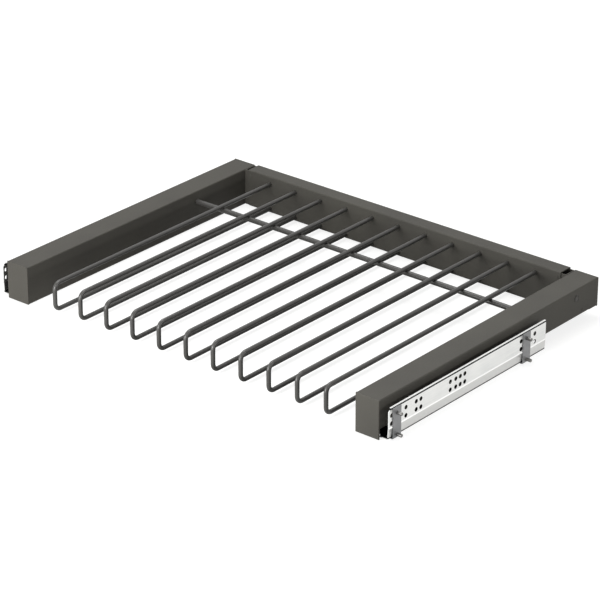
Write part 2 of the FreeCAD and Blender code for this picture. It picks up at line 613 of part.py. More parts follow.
def cabinet_member():
    """Fixed member: plate on the cabinet wall, foot under the arm and a hook that holds down."""
    hook = FOOT_BOTTOM + FOOT_WALL
    section = [(PLATE_LIP, PLATE_TOP), (0, PLATE_TOP), (0, FOOT_BOTTOM + PLATE_RIDGE_RISE),
               (PLATE_LEAN, FOOT_BOTTOM), (FOOT_WIDTH, FOOT_BOTTOM),
               (FOOT_WIDTH, hook), (FOOT_WIDTH - FOOT_HOOK, hook)]
    member = slide_sheet(section, SLIDE_SHEET, SLIDE_FRONT, SLIDE_REAR)
    outside = PLATE_FACE + 1
    inside = PLATE_FACE - 2 * SLIDE_SHEET
    upper = PLATE_TOP - HOLE_UPPER_DROP
    cuts = [rod(Vector(outside, y, z), Vector(inside, y, z), HOLE_RADIUS)
            for y in plate_hole_columns() for z in (upper, upper - HOLE_ROW_SPACING)]
    notch = Vector(PLATE_FACE - FOOT_NOTCH_INSET, SLIDE_FRONT, FOOT_BOTTOM - 1)
    cuts.append(rod(notch, notch + Z_AXIS * (SLIDE_SHEET + 2), FOOT_NOTCH_RADIUS))
    corner = Part.makePolygon([Vector(outside, SLIDE_FRONT - 1, PLATE_TOP + 1),
                               Vector(outside, SLIDE_FRONT + PLATE_CORNER + 1, PLATE_TOP + 1),
                               Vector(outside, SLIDE_FRONT - 1, PLATE_TOP - PLATE_CORNER - 1),
                               Vector(outside, SLIDE_FRONT - 1, PLATE_TOP + 1)])
    cuts.append(Part.Face(corner).extrude(Vector(-PLATE_LIP - 2, 0, 0)))
    return without(member, cuts)


def middle_member():
    """C-shaped member that runs between the two others, with rollers under and over it."""
    section = [(MIDDLE_INNER, MIDDLE_TOP), (MIDDLE_OUTER, MIDDLE_TOP),
               (MIDDLE_OUTER, MIDDLE_BOTTOM), (MIDDLE_INNER, MIDDLE_BOTTOM)]
    return slide_sheet(section, SLIDE_SHEET, SLIDE_FRONT, MIDDLE_REAR)


def carrier_spans():
    """Y of both ends of the front and the rear carrier."""
    front = FRONT + CARRIER_FRONT_INSET
    rear = FRONT + DRAWER_FRONT_INSET + SLIDE_LENGTH - CARRIER_REAR_INSET
    return ((front, front + CARRIER_LENGTHS[0]), (rear - CARRIER_LENGTHS[1], rear))


def carrier_rivet_places(span):
    """Y of the rivets of one carrier."""
    return (span[0] + CARRIER_RIVET_INSET, span[1] - CARRIER_RIVET_INSET)


def rivet_hole(y):
    """Cutter for a rivet through the drawer member and the carrier on it."""
    low = Vector(RUN_LINE, y, DRAWER_TOP - 2 * SLIDE_SHEET)
    return rod(low, low + Z_AXIS * (2 * SLIDE_SHEET + 2 * CARRIER_SHEET), CARRIER_RIVET_RADIUS + FASTENER_FIT)


def drawer_member():
    """Moving member: a channel over the middle one, with a hook on each side."""
    low = DRAWER_TOP - DRAWER_DEPTH
    section = [(DRAWER_INNER - DRAWER_INNER_HOOK, low), (DRAWER_INNER, low), (DRAWER_INNER, DRAWER_TOP),
               (DRAWER_OUTER, DRAWER_TOP), (DRAWER_OUTER, low), (MIDDLE_OUTER - DRAWER_HOOK_CLEARANCE, low)]
    y0 = FRONT + DRAWER_FRONT_INSET
    member = slide_sheet(section, SLIDE_SHEET, y0, y0 + SLIDE_LENGTH)
    return without(member, [rivet_hole(y) for span in carrier_spans() for y in carrier_rivet_places(span)])


def carrier(span):
    """Open box section that joins the drawer member to the arm's ceiling."""
    section = [(MIDDLE_OUTER + CARRIER_FLANGE, ARM_CEILING), (MIDDLE_OUTER, ARM_CEILING),
               (MIDDLE_OUTER, DRAWER_TOP), (MIDDLE_INNER, DRAWER_TOP),
               (MIDDLE_INNER, ARM_CEILING), (MIDDLE_INNER - CARRIER_FLANGE, ARM_CEILING)]
    piece = slide_sheet(section, CARRIER_SHEET, span[0], span[1])
    return without(piece, [rivet_hole(y) for y in carrier_rivet_places(span)])


def carrier_rivets():
    """Rivets between the carriers and the drawer member."""
    rivets = []
    for span in carrier_spans():
        for y in carrier_rivet_places(span):
            low = Vector(RUN_LINE, y, DRAWER_TOP - SLIDE_SHEET)
            high = Vector(RUN_LINE, y, DRAWER_TOP + CARRIER_SHEET)
            shank = rod(low, high, CARRIER_RIVET_RADIUS)
            lower = rod(low - Z_AXIS * CARRIER_RIVET_LOWER_HEAD, low, CARRIER_RIVET_HEAD)
            upper = rod(high, high + Z_AXIS * CARRIER_RIVET_UPPER_HEAD, CARRIER_RIVET_HEAD)
            rivets.append(joined([shank, lower, upper]))
    return rivets


def roller_places():
    """Y of the rollers in one cage."""
    count = int((CAGE_LENGTH - ROLLER_PITCH / 2) / ROLLER_PITCH) + 1
    first = FRONT + CAGE_START + (CAGE_LENGTH - (count - 1) * ROLLER_PITCH) / 2
    return [first + k * ROLLER_PITCH for k in range(count)]


def rollers(track):
    """Rollers that run on a track at the given height."""
    z = track + ROLLER_CLEARANCE + ROLLER_RADIUS
    near, far = about(RUN_LINE, ROLLER_LENGTH)
    return [rod(Vector(near, y, z), Vector(far, y, z), ROLLER_RADIUS) for y in roller_places()]


def roller_cage(track):
    """Strip with one pocket for each roller."""
    z = track + ROLLER_CLEARANCE + ROLLER_RADIUS
    start = FRONT + CAGE_START
    strip = box(about(RUN_LINE, CAGE_WIDTH), (start, start + CAGE_LENGTH), about(z, CAGE_THICKNESS))
    length = ROLLER_LENGTH + 2 * CAGE_POCKET_FIT
    width = 2 * (ROLLER_RADIUS + CAGE_POCKET_FIT)
    pockets = [box(about(RUN_LINE, length), about(y, width), about(z, 2 * CAGE_THICKNESS))
               for y in roller_places()]
    return without(strip, pockets)


def stop_buffer():
    """Rubber block on the foot that the middle member meets when the rack is pushed in."""
    start = MIDDLE_REAR + BUFFER_GAP
    block = box(about(RUN_LINE, BUFFER_WIDTH), (start, start + BUFFER_LENGTH),
                (FOOT_TOP, FOOT_TOP + BUFFER_HEIGHT))
    return block.makeFillet(BUFFER_EDGE_RADIUS, [edge for edge in block.Edges if is_buffer_top(edge)])


def is_buffer_top(edge):
    """The four edges round the top of the buffer."""
    return abs(edge.CenterOfMass.z - FOOT_TOP - BUFFER_HEIGHT) < 1e-6


def peg_bracket(y):
    """Strap welded to the cabinet plate, with a tab folded in under the foot."""
    face = -STRAP_SHEET
    low = FOOT_BOTTOM - STRAP_SHEET
    section = [(face, max(PEG_HEIGHTS) + STRAP_OVER_PEG), (face, low), (STRAP_TAB, low)]
    strap = slide_sheet(section, STRAP_SHEET, *about(y, STRAP_WIDTH))
    holes = [rod(Vector(PLATE_FACE - 1, y, z), Vector(PLATE_FACE + STRAP_SHEET + 1, y, z),
                 PEG_SHANK_RADIUS + FASTENER_FIT) for z in PEG_HEIGHTS]
    return without(strap, holes)


def dowel_pegs():
    """Pegs riveted into the straps, which push into the row of holes in the cabinet wall."""
    pegs = []
    wall = PLATE_FACE + STRAP_SHEET
    for y in PEG_COLUMNS:
        for z in PEG_HEIGHTS:
            shank = rod(Vector(PLATE_FACE, y, z), Vector(wall, y, z), PEG_SHANK_RADIUS)
            body = rod(Vector(wall, y, z), Vector(wall + PEG_LENGTH - PEG_TIP, y, z), PEG_RADIUS)
            tip = Part.makeCone(PEG_RADIUS, PEG_RADIUS - PEG_TIP, PEG_TIP,
                                Vector(wall + PEG_LENGTH - PEG_TIP, y, z), X_AXIS)
            pegs.append(joined([shank, body, tip]))
    return pegs


# ---------------------------------------------------------------- the nodes
on_both_sides("arm_cover", arm_cover())
on_both_sides("front_cap", front_cap())
on_both_sides("rear_cap", rear_cap())
on_both_sides("rail_bracket", rail_bracket())
on_both_sides("cabinet_member", cabinet_member())
on_both_sides("middle_member", middle_member())
on_both_sides("drawer_member", drawer_member())
on_both_sides("front_carrier", carrier(carrier_spans()[0]))
on_both_sides("rear_carrier", carrier(carrier_spans()[1]))
on_both_sides("carrier_rivets", group(carrier_rivets()))
on_both_sides("lower_roller_cage", roller_cage(FOOT_TOP))
on_both_sides("upper_roller_cage", roller_cage(MIDDLE_TOP))
on_both_sides("lower_rollers", group(rollers(FOOT_TOP)))
on_both_sides("upper_rollers", group(rollers(MIDDLE_TOP)))
on_both_sides("stop_buffer", stop_buffer())
on_both_sides("front_peg_bracket", peg_bracket(PEG_COLUMNS[0]))
on_both_sides("rear_peg_bracket", peg_bracket(PEG_COLUMNS[1]))
on_both_sides("dowel_pegs", group(dowel_pegs()))

nodes["back_rail"] = back_rail()
nodes["crossbar"] = crossbar()
for number, bar_x in enumerate(bar_places(), start=1):
    nodes["trouser_bar_%02d" % number] = trouser_bar(bar_x)
nodes["bar_screws"] = group(bar_screws())

PAIRS = {
    "cap_rivets": [cap_rivet()],
    "access_plugs": [access_plug()],
    "rail_rivets": [rail_rivet()],
    "bracket_bolts": bracket_bolts(),
    "bracket_nuts": bracket_nuts(),
    "crossbar_plugs": [crossbar_plug()],
    "crossbar_screws": [crossbar_screw()],
}
for name, pieces in PAIRS.items():
    nodes[name] = group(pieces + [mirrored(piece) for piece in pieces])

os.makedirs("parts", exist_ok=True)
for name, shape in nodes.items():
    shape.exportStep("parts/%s.step" % name)
    print("%-24s solids %2d  volume %9.1f" % (name, len(shape.Solids), shape.Volume), shape.isValid())
print("nodes", len(nodes))
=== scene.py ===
# %% [markdown]
# # A pull out trouser rack, modelled and finished in Blender
#
# The real object hangs in a wardrobe. Two arms and a back rail, folded from sheet steel and
# powder coated, carry a row of U-shaped wires, and trousers hang over the wires. Each arm
# rides on a roller slide, so the whole rack pulls out to the front.
#
# The CAD model already holds every piece at its true size and place. It is loaded first and
# stays untouched. The pieces that the eye meets are then modelled again with Blender's own
# tools, with rounded folds, softened edges and recessed screw heads, and each takes the place
# of its CAD node. The inner pieces of the slides keep their CAD shape and only get a finish.

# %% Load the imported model
import json
import math

import bmesh
import bpy
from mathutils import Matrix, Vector


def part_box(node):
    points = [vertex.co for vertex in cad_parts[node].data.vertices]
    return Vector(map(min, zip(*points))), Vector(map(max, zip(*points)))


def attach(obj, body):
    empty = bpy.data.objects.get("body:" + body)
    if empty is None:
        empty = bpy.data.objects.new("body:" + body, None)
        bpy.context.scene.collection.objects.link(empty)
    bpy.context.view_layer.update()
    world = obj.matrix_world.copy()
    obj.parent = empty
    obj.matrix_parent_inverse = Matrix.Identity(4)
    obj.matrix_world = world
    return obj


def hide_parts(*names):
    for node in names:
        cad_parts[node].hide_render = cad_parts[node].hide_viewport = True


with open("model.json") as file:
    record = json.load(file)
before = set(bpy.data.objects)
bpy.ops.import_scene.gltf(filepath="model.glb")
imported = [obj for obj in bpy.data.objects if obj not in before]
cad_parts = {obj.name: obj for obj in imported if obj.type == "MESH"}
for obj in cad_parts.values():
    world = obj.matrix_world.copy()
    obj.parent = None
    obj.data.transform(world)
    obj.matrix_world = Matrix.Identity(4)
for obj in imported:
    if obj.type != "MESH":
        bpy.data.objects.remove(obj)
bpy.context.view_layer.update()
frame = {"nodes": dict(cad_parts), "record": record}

# %% [markdown]
# ## Working in millimetres
#
# Blender counts in metres and a workshop counts in millimetres, so one value converts between
# them. An operator acts on all that is selected, and loading the model leaves its nodes
# selected. So before an operator works on objects, either all of them are deselected or exactly
# one is chosen.

# %% Units and selection
MM = 0.001
NEAR = 0.01             # two places closer than this, in millimetres, are the same
X, Y, Z = range(3)


def box_mm(node):
    """Lowest and highest corner of a CAD node, in millimetres."""
    low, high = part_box(node)
    return low / MM, high / MM


def metres(values):
    return tuple(value * MM for value in values)


def only(piece):
    """Selects one object, makes it the active one and deselects the rest."""
    bpy.ops.object.select_all(action="DESELECT")
    piece.select_set(True)
    bpy.context.view_layer.objects.active = piece


print("arm, in mm:", [tuple(round(v, 1) for v in corner) for corner in box_mm("right_arm_cover")])

# %% [markdown]
# ## Starting shapes
#
# Each piece starts as a primitive of the right size in the right place: a block for a plate, a
# flat sheet for folded steel, a rod for a punch, a ring for wire. Its place is then applied to
# the mesh, so that the object itself sits at the origin. Its Object coordinates, on which the
# patterns are laid, are then the world's.

# %% Primitives at their size and place
def settled(name):
    """Names the new object and moves its place, turn and size into its mesh."""
    piece = bpy.context.object
    piece.name = name
    piece.data.name = name
    bpy.ops.object.transform_apply(location=True, rotation=True, scale=True)
    return piece


def block(name, low, high):
    """A cube primitive between two corners, in millimetres."""
    bpy.ops.object.select_all(action="DESELECT")
    bpy.ops.mesh.primitive_cube_add(size=1, location=metres((a + b) / 2 for a, b in zip(low, high)))
    bpy.context.object.scale = metres(b - a for a, b in zip(low, high))
    return settled(name)


def flat(name, middle, width, depth, turn=(0, 0, 0)):
    """A plane primitive that faces up before it is turned, in millimetres and degrees."""
    bpy.ops.object.select_all(action="DESELECT")
    bpy.ops.mesh.primitive_plane_add(size=1, location=metres(middle),
                                     rotation=tuple(math.radians(angle) for angle in turn))
    bpy.context.object.scale = (width * MM, depth * MM, 1)
    return settled(name)


def along(start, end):
    """The middle, the length and the turn of a shape whose axis runs from start to end."""
    start, end = Vector(start), Vector(end)
    turn = (end - start).to_track_quat("Z", "Y").to_euler()
    return metres((start + end) / 2), (end - start).length * MM, turn


def rod(name, start, end, radius, vertices=32):
    """A cylinder primitive between two points, in millimetres."""
    middle, length, turn = along(start, end)
    bpy.ops.object.select_all(action="DESELECT")
    bpy.ops.mesh.primitive_cylinder_add(vertices=vertices, radius=radius * MM, depth=length,
                                        location=middle, rotation=turn)
    return settled(name)


print("starting shapes: block, flat, rod")

# %% [markdown]
# ## Shaping in edit mode
#
# By hand one would click on an edge and pull it. In a script the edge is found by where it lies
# and which way it points. `pick` selects what passes such a test, and the short helpers after it
# are the pulls and roundings that folded sheet metal needs.

# %% Edit mode
KINDS = {"edges": "EDGE", "faces": "FACE"}


def edit(piece):
    """Opens a piece in edit mode with all of it selected."""
    only(piece)
    bpy.ops.object.mode_set(mode="EDIT")
    bpy.ops.mesh.select_mode(type="VERT")
    bpy.ops.mesh.select_all(action="SELECT")


def done():
    bpy.ops.object.mode_set(mode="OBJECT")


def pick(kind, test):
    """Selects the edges or faces whose middle, in millimetres, and direction pass a test.

    The direction is a face's normal, or the way an edge runs.
    """
    bpy.ops.mesh.select_mode(type=KINDS[kind])
    bpy.ops.mesh.select_all(action="DESELECT")
    mesh = bmesh.from_edit_mesh(bpy.context.object.data)
    mesh.normal_update()
    picked = 0
    for part in getattr(mesh, kind):
        corners = list(part.verts)
        middle = sum((corner.co for corner in corners), Vector()) / len(corners) / MM
        way = (corners[1].co - corners[0].co).normalized() if kind == "edges" else part.normal
        if test(middle, way):
            part.select_set(True)
            picked += 1
    bmesh.update_edit_mesh(bpy.context.object.data)
    return picked


def extrude(x=0, y=0, z=0):
    bpy.ops.mesh.extrude_region_move(TRANSFORM_OT_translate={"value": metres((x, y, z))})


def bevel(width, segments=3):
    bpy.ops.mesh.bevel(offset=width * MM, segments=segments, affect="EDGES")


def slice_at(axis, *places):
    """Cuts the whole mesh along planes across one axis, and keeps both sides."""
    for place in places:
        bpy.ops.mesh.select_all(action="SELECT")
        normal = [float(way == axis) for way in (X, Y, Z)]
        bpy.ops.mesh.bisect(plane_co=[place * MM * share for share in normal], plane_no=normal)


print("edit helpers: pick, extrude, bevel, slice_at")

# %% [markdown]
# ## Finishing a shape
#
# Modifiers do what a machine does to the whole piece at once: Solidify gives a folded surface
# its sheet thickness, Bevel breaks the sharp cut edges, Boolean drills. Each is applied at once,
# so the mesh that is handed on is the finished one. A mirror image is turned inside out by the
# mirroring, so its normals are worked out afresh.

# %% Modifiers, copies and mirror images
SHARP = math.radians(40)


def modifier(piece, kind, **settings):
    """Adds a modifier with its settings and applies it."""
    only(piece)
    added = piece.modifiers.new(kind, kind)
    for key, value in settings.items():
        setattr(added, key, value)
    bpy.ops.object.modifier_apply(modifier=added.name)


def soften(piece, width, segments=2):
    """Breaks every sharp edge."""
    modifier(piece, "BEVEL", width=width * MM, segments=segments, limit_method="ANGLE",
             angle_limit=SHARP, harden_normals=False)


def drill(piece, cutter):
    """Takes the cutter's shape out of the piece, and the cutter out of the scene."""
    modifier(piece, "BOOLEAN", operation="DIFFERENCE", solver="EXACT", object=cutter)
    bpy.data.objects.remove(cutter)


def joined(name, pieces):
    """Several meshes as one object."""
    only(pieces[0])
    for piece in pieces[1:]:
        piece.select_set(True)
    bpy.ops.object.join()
    bpy.context.object.name = name
    bpy.context.object.data.name = name
    return bpy.context.object


def copied(piece, name, x=0, y=0, z=0):
    """A copy with a mesh of its own, shifted by so many millimetres."""
    only(piece)
    bpy.ops.object.duplicate(linked=False)
    bpy.ops.transform.translate(value=metres((x, y, z)))
    return settled(name)


def mirrored(piece, name):
    """The mirror image on the other side of the rack."""
    twin = copied(piece, name)
    edit(twin)
    bpy.ops.transform.resize(value=(-1, 1, 1), center_override=(0, 0, 0))
    bpy.ops.mesh.remove_doubles(threshold=0.001 * MM)
    bpy.ops.mesh.normals_make_consistent(inside=False)
    done()
    return twin


print("finishing helpers: modifier, soften, drill, joined, copied, mirrored")

# %% [markdown]
# ## Handing a piece to the frame
#
# A piece is finished when it has its shading, its material, its body and the CAD node that it
# stands for. Smooth shading by angle rounds the folds but keeps the cut edges crisp, and the
# Weighted Normal modifier keeps large faces flat right up to a fold.

# %% Shading, material and body
SMOOTH = math.radians(35)


def dress(piece, material, slot, body, *nodes):
    """Shades a finished piece and puts it in the place of its CAD nodes.

    The material goes into the piece's first slot. Slots after it are kept.
    """
    only(piece)
    bpy.ops.object.shade_smooth_by_angle(angle=SMOOTH)
    modifier(piece, "WEIGHTED_NORMAL", keep_sharp=True)
    if not piece.data.materials:
        piece.data.materials.append(material)
    piece.data.materials[0] = material
    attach(piece, body)
    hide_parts(*nodes)
    print("%-24s %6d faces for %s" % (piece.name, len(piece.data.polygons), ", ".join(nodes)))


def dress_pair(piece, name, material, slot, body, *nodes):
    """Dresses a right-hand piece and its mirror image. Names and nodes start after the side."""
    twin = mirrored(piece, "left_" + name)
    piece.name = "right_" + name
    for side, half in (("right_", piece), ("left_", twin)):
        dress(half, material, slot, body, *[side + node for node in nodes])


# %% [markdown]
# ## Colours and nodes
#
# A colour read off a paint card is an sRGB hex value, and a shader wants linear light. One
# function turns one into the other. Another adds a node, sets it up and joins it, so that each
# material below reads like a list of its ingredients.

# %% Colour and node helpers
def colour(text):
    """An sRGB hex value as the linear colour that a shader takes."""
    channels = [int(text[k:k + 2], 16) / 255 for k in (1, 3, 5)]
    linear = [c / 12.92 if c <= 0.04045 else ((c + 0.055) / 1.055) ** 2.4 for c in channels]
    return (*linear, 1.0)


def add(material, kind, inputs=None, **settings):
    """Adds a node with its settings. An input is a number, a colour or another node's output."""
    tree = material.node_tree
    made = tree.nodes.new(kind)
    for key, value in settings.items():
        setattr(made, key, value)
    for key, value in (inputs or {}).items():
        if isinstance(value, bpy.types.NodeSocket):
            tree.links.new(value, made.inputs[key])
        else:
            made.inputs[key].default_value = value
    return made


def new_material(name):
    """A material whose node tree holds only an output."""
    material = bpy.data.materials.new(name)
    material.use_nodes = True
    material.node_tree.nodes.clear()
    return material, material.node_tree.nodes.new("ShaderNodeOutputMaterial")


def per_mm(size):
    """The scale that makes a noise pattern's features about so many millimetres wide."""
    return 1 / (size * MM)


def finish(material, output, shader):
    material.node_tree.links.new(shader.outputs[0], output.inputs["Surface"])
    print("material:", material.name, "with", len(material.node_tree.nodes), "nodes")
    return material


print("anthracite paint in linear light:", [round(c, 3) for c in colour("#4E4C46")[:3]])

# %% [markdown]
# ## Powder coat on the frame
#
# The arms, caps and rail are folded from steel sheet and coated with fine textured polyester
# powder, baked on at about 180 degrees. The powder melts into tiny bumps, which make the warm
# grey coat matt and leave it a faint sparkle. Real bumps are about 0.3 mm wide. That is less
# than the render can show, so they are drawn 1.1 mm wide and very low.
#
# A Principled shader with a high roughness does most of it. One noise drives the bumps and the
# small changes in roughness, and a second, 90 mm wide and barely visible, keeps long faces from
# looking like flat paint.

# %% Fine textured powder coat
COAT_DRIFT = 90.0


def powder_coat(name, light, dark, roughness, grain, depth, sheen):
    """Powder coat that drifts between two close colours. Grain and depth are in millimetres."""
    material, output = new_material(name)
    place = add(material, "ShaderNodeTexCoord").outputs["Object"]
    cloud = add(material, "ShaderNodeTexNoise",
                {"Vector": place, "Scale": per_mm(COAT_DRIFT), "Detail": 2.0})
    speck = add(material, "ShaderNodeTexNoise",
                {"Vector": place, "Scale": per_mm(grain), "Detail": 3.0, "Roughness": 0.6})
    drift = add(material, "ShaderNodeMapRange",
                {"Value": cloud.outputs["Fac"], "From Min": 0.35, "From Max": 0.65})
    paint = add(material, "ShaderNodeMix", data_type="RGBA",
                inputs={0: drift.outputs["Result"], 6: colour(dark), 7: colour(light)})
    gloss = add(material, "ShaderNodeMapRange",
                {"Value": speck.outputs["Fac"], "From Min": 0.3, "From Max": 0.7,
                 "To Min": roughness - 0.06, "To Max": roughness + 0.06})
    bumps = add(material, "ShaderNodeBump", {"Height": speck.outputs["Fac"], "Strength": 0.5,
                                             "Distance": depth * MM})
    shader = add(material, "ShaderNodeBsdfPrincipled",
                 {"Base Color": paint.outputs[2], "Roughness": gloss.outputs["Result"],
                  "Normal": bumps.outputs["Normal"], "Specular IOR Level": sheen})
    return finish(material, output, shader)


FRAME_COAT = powder_coat("anthracite_textured_powder_coat", "#4E4C46", "#484641",
                         roughness=0.62, grain=1.1, depth=0.05, sheen=0.3)

# %% [markdown]
# ## Powder coat on the wires
#
# The wires get a smoother powder with less texture in it. On a round wire a satin coat shows one
# soft line of light along the top and falls to near black underneath, so its roughness is lower
# and its bumps lower still. They are the slight waves of a coat that has flowed well, 1.4 mm
# from one to the next.

# %% Satin powder coat
WIRE_COAT = powder_coat("anthracite_satin_powder_coat", "#484745", "#42413F",
                        roughness=0.34, grain=1.4, depth=0.02, sheen=0.5)

# %% [markdown]
# ## Zinc-plated slides
#
# The members of the slides are cold rolled from zinc-plated strip. Zinc is a bright, slightly
# bluish metal. Rolling draws faint lines along the strip, so a noise is stretched forty times
# along Y, the direction of rolling, to tint the metal and vary its roughness. Real lines are
# about 0.2 mm wide and too fine to show, so they are drawn 1.6 mm wide. The default IOR stays,
# because a metal's colour already says how it reflects.
#
# The plate on the cabinet wall also gets light and shade painted into its colour. Painted shade
# darkens the part that leans inwards, the bead gets a painted highlight, and near black painted
# shade fills the groove under the lip and the fold at the foot. A Compare node finds the heights
# of each such band, and a Mix node lays the band's colour over the zinc.

# %% Rolled and plated metals
ZINC_CLOUD = 35.0


def rolled_metal(name, light, dark, roughness, line, stretch, depth, bands=()):
    """Plated metal with rolling lines so many millimetres wide, stretched along Y.

    A band of painted shade or painted highlight is a height and a half width in millimetres, and a
    colour.
    """
    material, output = new_material(name)
    place = add(material, "ShaderNodeTexCoord").outputs["Object"]
    drawn = add(material, "ShaderNodeMapping", {"Vector": place, "Scale": (1, 1 / stretch, 1)})
    lines = add(material, "ShaderNodeTexNoise", {"Vector": drawn.outputs["Vector"],
                "Scale": per_mm(line), "Detail": 3.0, "Roughness": 0.55})
    cloud = add(material, "ShaderNodeTexNoise",
                {"Vector": place, "Scale": per_mm(ZINC_CLOUD), "Detail": 2.0})
    mixed = add(material, "ShaderNodeMath", {0: lines.outputs["Fac"], 1: cloud.outputs["Fac"]},
                operation="MULTIPLY")
    share = add(material, "ShaderNodeMapRange",
                {"Value": mixed.outputs["Value"], "From Min": 0.12, "From Max": 0.38})
    metal = add(material, "ShaderNodeMix", data_type="RGBA",
                inputs={0: share.outputs["Result"], 6: colour(dark), 7: colour(light)})
    gloss = add(material, "ShaderNodeMapRange",
                {"Value": lines.outputs["Fac"], "From Min": 0.3, "From Max": 0.7,
                 "To Min": roughness - 0.05, "To Max": roughness + 0.07})
    bumps = add(material, "ShaderNodeBump", {"Height": lines.outputs["Fac"], "Strength": 0.25,
                                             "Distance": depth * MM})
    tint = metal.outputs[2]
    height = add(material, "ShaderNodeSeparateXYZ", {"Vector": place}).outputs["Z"] if bands else None
    # each band paints shade or a highlight into the metal's colour
    for middle, reach, painted_tone in bands:
        band = add(material, "ShaderNodeMath", {0: height, 1: middle * MM, 2: reach * MM},
                   operation="COMPARE")
        tint = add(material, "ShaderNodeMix", data_type="RGBA",
                   inputs={0: band.outputs["Value"], 6: tint, 7: colour(painted_tone)}).outputs[2]
    shader = add(material, "ShaderNodeBsdfPrincipled",
                 {"Base Color": tint, "Metallic": 1.0, "Roughness": gloss.outputs["Result"],
                  "Normal": bumps.outputs["Normal"]})
    return finish(material, output, shader)


ZINC = rolled_metal("zinc_plated_rolled_steel", "#E2E2E0", "#D4D5D4",
                    roughness=0.34, line=1.6, stretch=40, depth=0.02)
# the plate's zinc, with bands of painted shade and a painted highlight
PLATE_ZINC = rolled_metal("zinc_with_painted_shade_and_highlight", "#ECECEA", "#E0E1E0",
                          roughness=0.34, line=1.6, stretch=40, depth=0.02,
                          bands=((10.2, 8.2, "#DADAD8"),     # painted shade on the part that leans inwards
                                 (19.8, 0.9, "#FBFBFA"),     # a painted highlight along the bead
                                 (46.9, 1.15, "#2A2A2A"),    # painted shade in the groove under the lip
                                 (4.9, 0.9, "#2A2A2A")))     # and along the fold at the foot

# %% [markdown]
# ## Galvanised brackets, turned pegs, screws and rollers
#
# The peg brackets and carriers are punched from hot-dip galvanised sheet, which is duller and
# cloudy, so its pattern isn't stretched. The pegs are turned and nickel plated, the rollers are
# ground, and the screws are zinc plated in a barrel. All are the same recipe with other numbers:
# colour, roughness, and how wide the marks of their making are. The zinc flowers of the brackets
# are 7 mm wide, as on real sheet. The other marks are too fine to show and are drawn 0.8 to 2 mm
# wide.

# %% The other metals
GALVANISED = rolled_metal("galvanised_punched_steel", "#8F8F90", "#808182",
                          roughness=0.46, line=7, stretch=1, depth=0.03)
TURNED = rolled_metal("nickel_plated_turned_steel", "#807F7D", "#747372",
                      roughness=0.42, line=1.2, stretch=1, depth=0.01)
# walls of the punched holes: bare steel drawn near black as painted shade
HOLE_WALL_SHADE = rolled_metal("punched_edge_in_painted_shade", "#3A3A39", "#2C2C2B",
                       roughness=0.50, line=1.5, stretch=1, depth=0.02)
SCREW_ZINC = rolled_metal("barrel_zinc_plated_steel", "#BDBEBC", "#A7A8A6",
                          roughness=0.38, line=2, stretch=1, depth=0.02)
GROUND = rolled_metal("ground_bearing_steel", "#D2D3D4", "#C6C7C8",
                      roughness=0.20, line=0.8, stretch=1, depth=0.005)

# %% [markdown]
# ## Plastics and rubber
#
# The roller cages are moulded from natural acetal, a waxy off-white plastic. The access plugs
# are polyamide in the frame's grey, and the stop buffers are black rubber. Their colour drifts
# a little with a soft noise, and their roughness and a low bump follow a finer one. The grain
# that the mould leaves is about 0.1 mm wide. It is drawn about ten times as wide, so that it
# shows.

# %% Moulded plastics and rubber
MOULD_CLOUD = 25.0


def moulded(name, light, dark, roughness, grain, depth):
    """A moulded plastic or rubber with a spark-eroded grain, in millimetres."""
    material, output = new_material(name)
    place = add(material, "ShaderNodeTexCoord").outputs["Object"]
    cloud = add(material, "ShaderNodeTexNoise",
                {"Vector": place, "Scale": per_mm(MOULD_CLOUD), "Detail": 2.0})
    speck = add(material, "ShaderNodeTexNoise", {"Vector": place, "Scale": per_mm(grain), "Detail": 2.0})
    tint = add(material, "ShaderNodeMix", data_type="RGBA",
               inputs={0: cloud.outputs["Fac"], 6: colour(dark), 7: colour(light)})
    gloss = add(material, "ShaderNodeMapRange",
                {"Value": speck.outputs["Fac"], "From Min": 0.3, "From Max": 0.7,
                 "To Min": roughness - 0.05, "To Max": roughness + 0.05})
    bumps = add(material, "ShaderNodeBump", {"Height": speck.outputs["Fac"], "Strength": 0.4,
                                             "Distance": depth * MM})
    shader = add(material, "ShaderNodeBsdfPrincipled",
                 {"Base Color": tint.outputs[2], "Roughness": gloss.outputs["Result"],
                  "Normal": bumps.outputs["Normal"]})
    return finish(material, output, shader)


ACETAL = moulded("natural_acetal", "#E2DFD4", "#D8D5C9", roughness=0.42, grain=1.5, depth=0.02)
PLUG_PLASTIC = moulded("grey_moulded_polyamide", "#454340", "#403E3A",
                       roughness=0.60, grain=0.9, depth=0.03)
RUBBER = moulded("black_moulded_rubber", "#262626", "#1E1E1E", roughness=0.75, grain=1.2, depth=0.05)

# %% [markdown]
# ## Finishes for the CAD nodes that stay
#
# The members inside the slides, the carriers, cages, rollers, nuts and buffers keep their CAD
# shape. Their meshes aren't touched: each node only gets the material of its slot. The nodes
# that a new piece will stand for get theirs too, which does no harm.

# %% Materials by slot
FINISHES = {
    "frame_powder_coat": FRAME_COAT,
    "wire_powder_coat": WIRE_COAT,
    "painted_rivets": FRAME_COAT,
    "zinc_plated_steel": ZINC,
    "galvanised_bracket_steel": GALVANISED,
    "turned_steel_pegs": TURNED,
    "roller_steel": GROUND,
    "screw_steel": SCREW_ZINC,
    "cage_polymer": ACETAL,
    "plug_plastic": PLUG_PLASTIC,
    "buffer_rubber": RUBBER,
}
for subpart in frame["record"]["subparts"]:
    node = frame["nodes"][subpart["node"]]
    node.data.materials.clear()
    node.data.materials.append(FINISHES[subpart["material_slot"]])

# %% [markdown]
# ## Side arms
#
# Each arm is a channel: a 40 mm top with two walls folded down, the one beside the cabinet 15 mm
# shorter so that the slide can pass under it. One could block it out as a solid and hollow it,
# but a press brake starts from a flat sheet, and so does this: the top is a plane, its long
# edges are extruded down as walls, the two folds are rounded with a bevel, and Solidify gives
# the sheet its 1.2 mm on the inside.

# %% Arm channel
ARM_SHEET = 1.2
FOLD_RADIUS = 2.0
OUTER_WALL_FOOT = 15.5
ARM_EDGE = 0.2

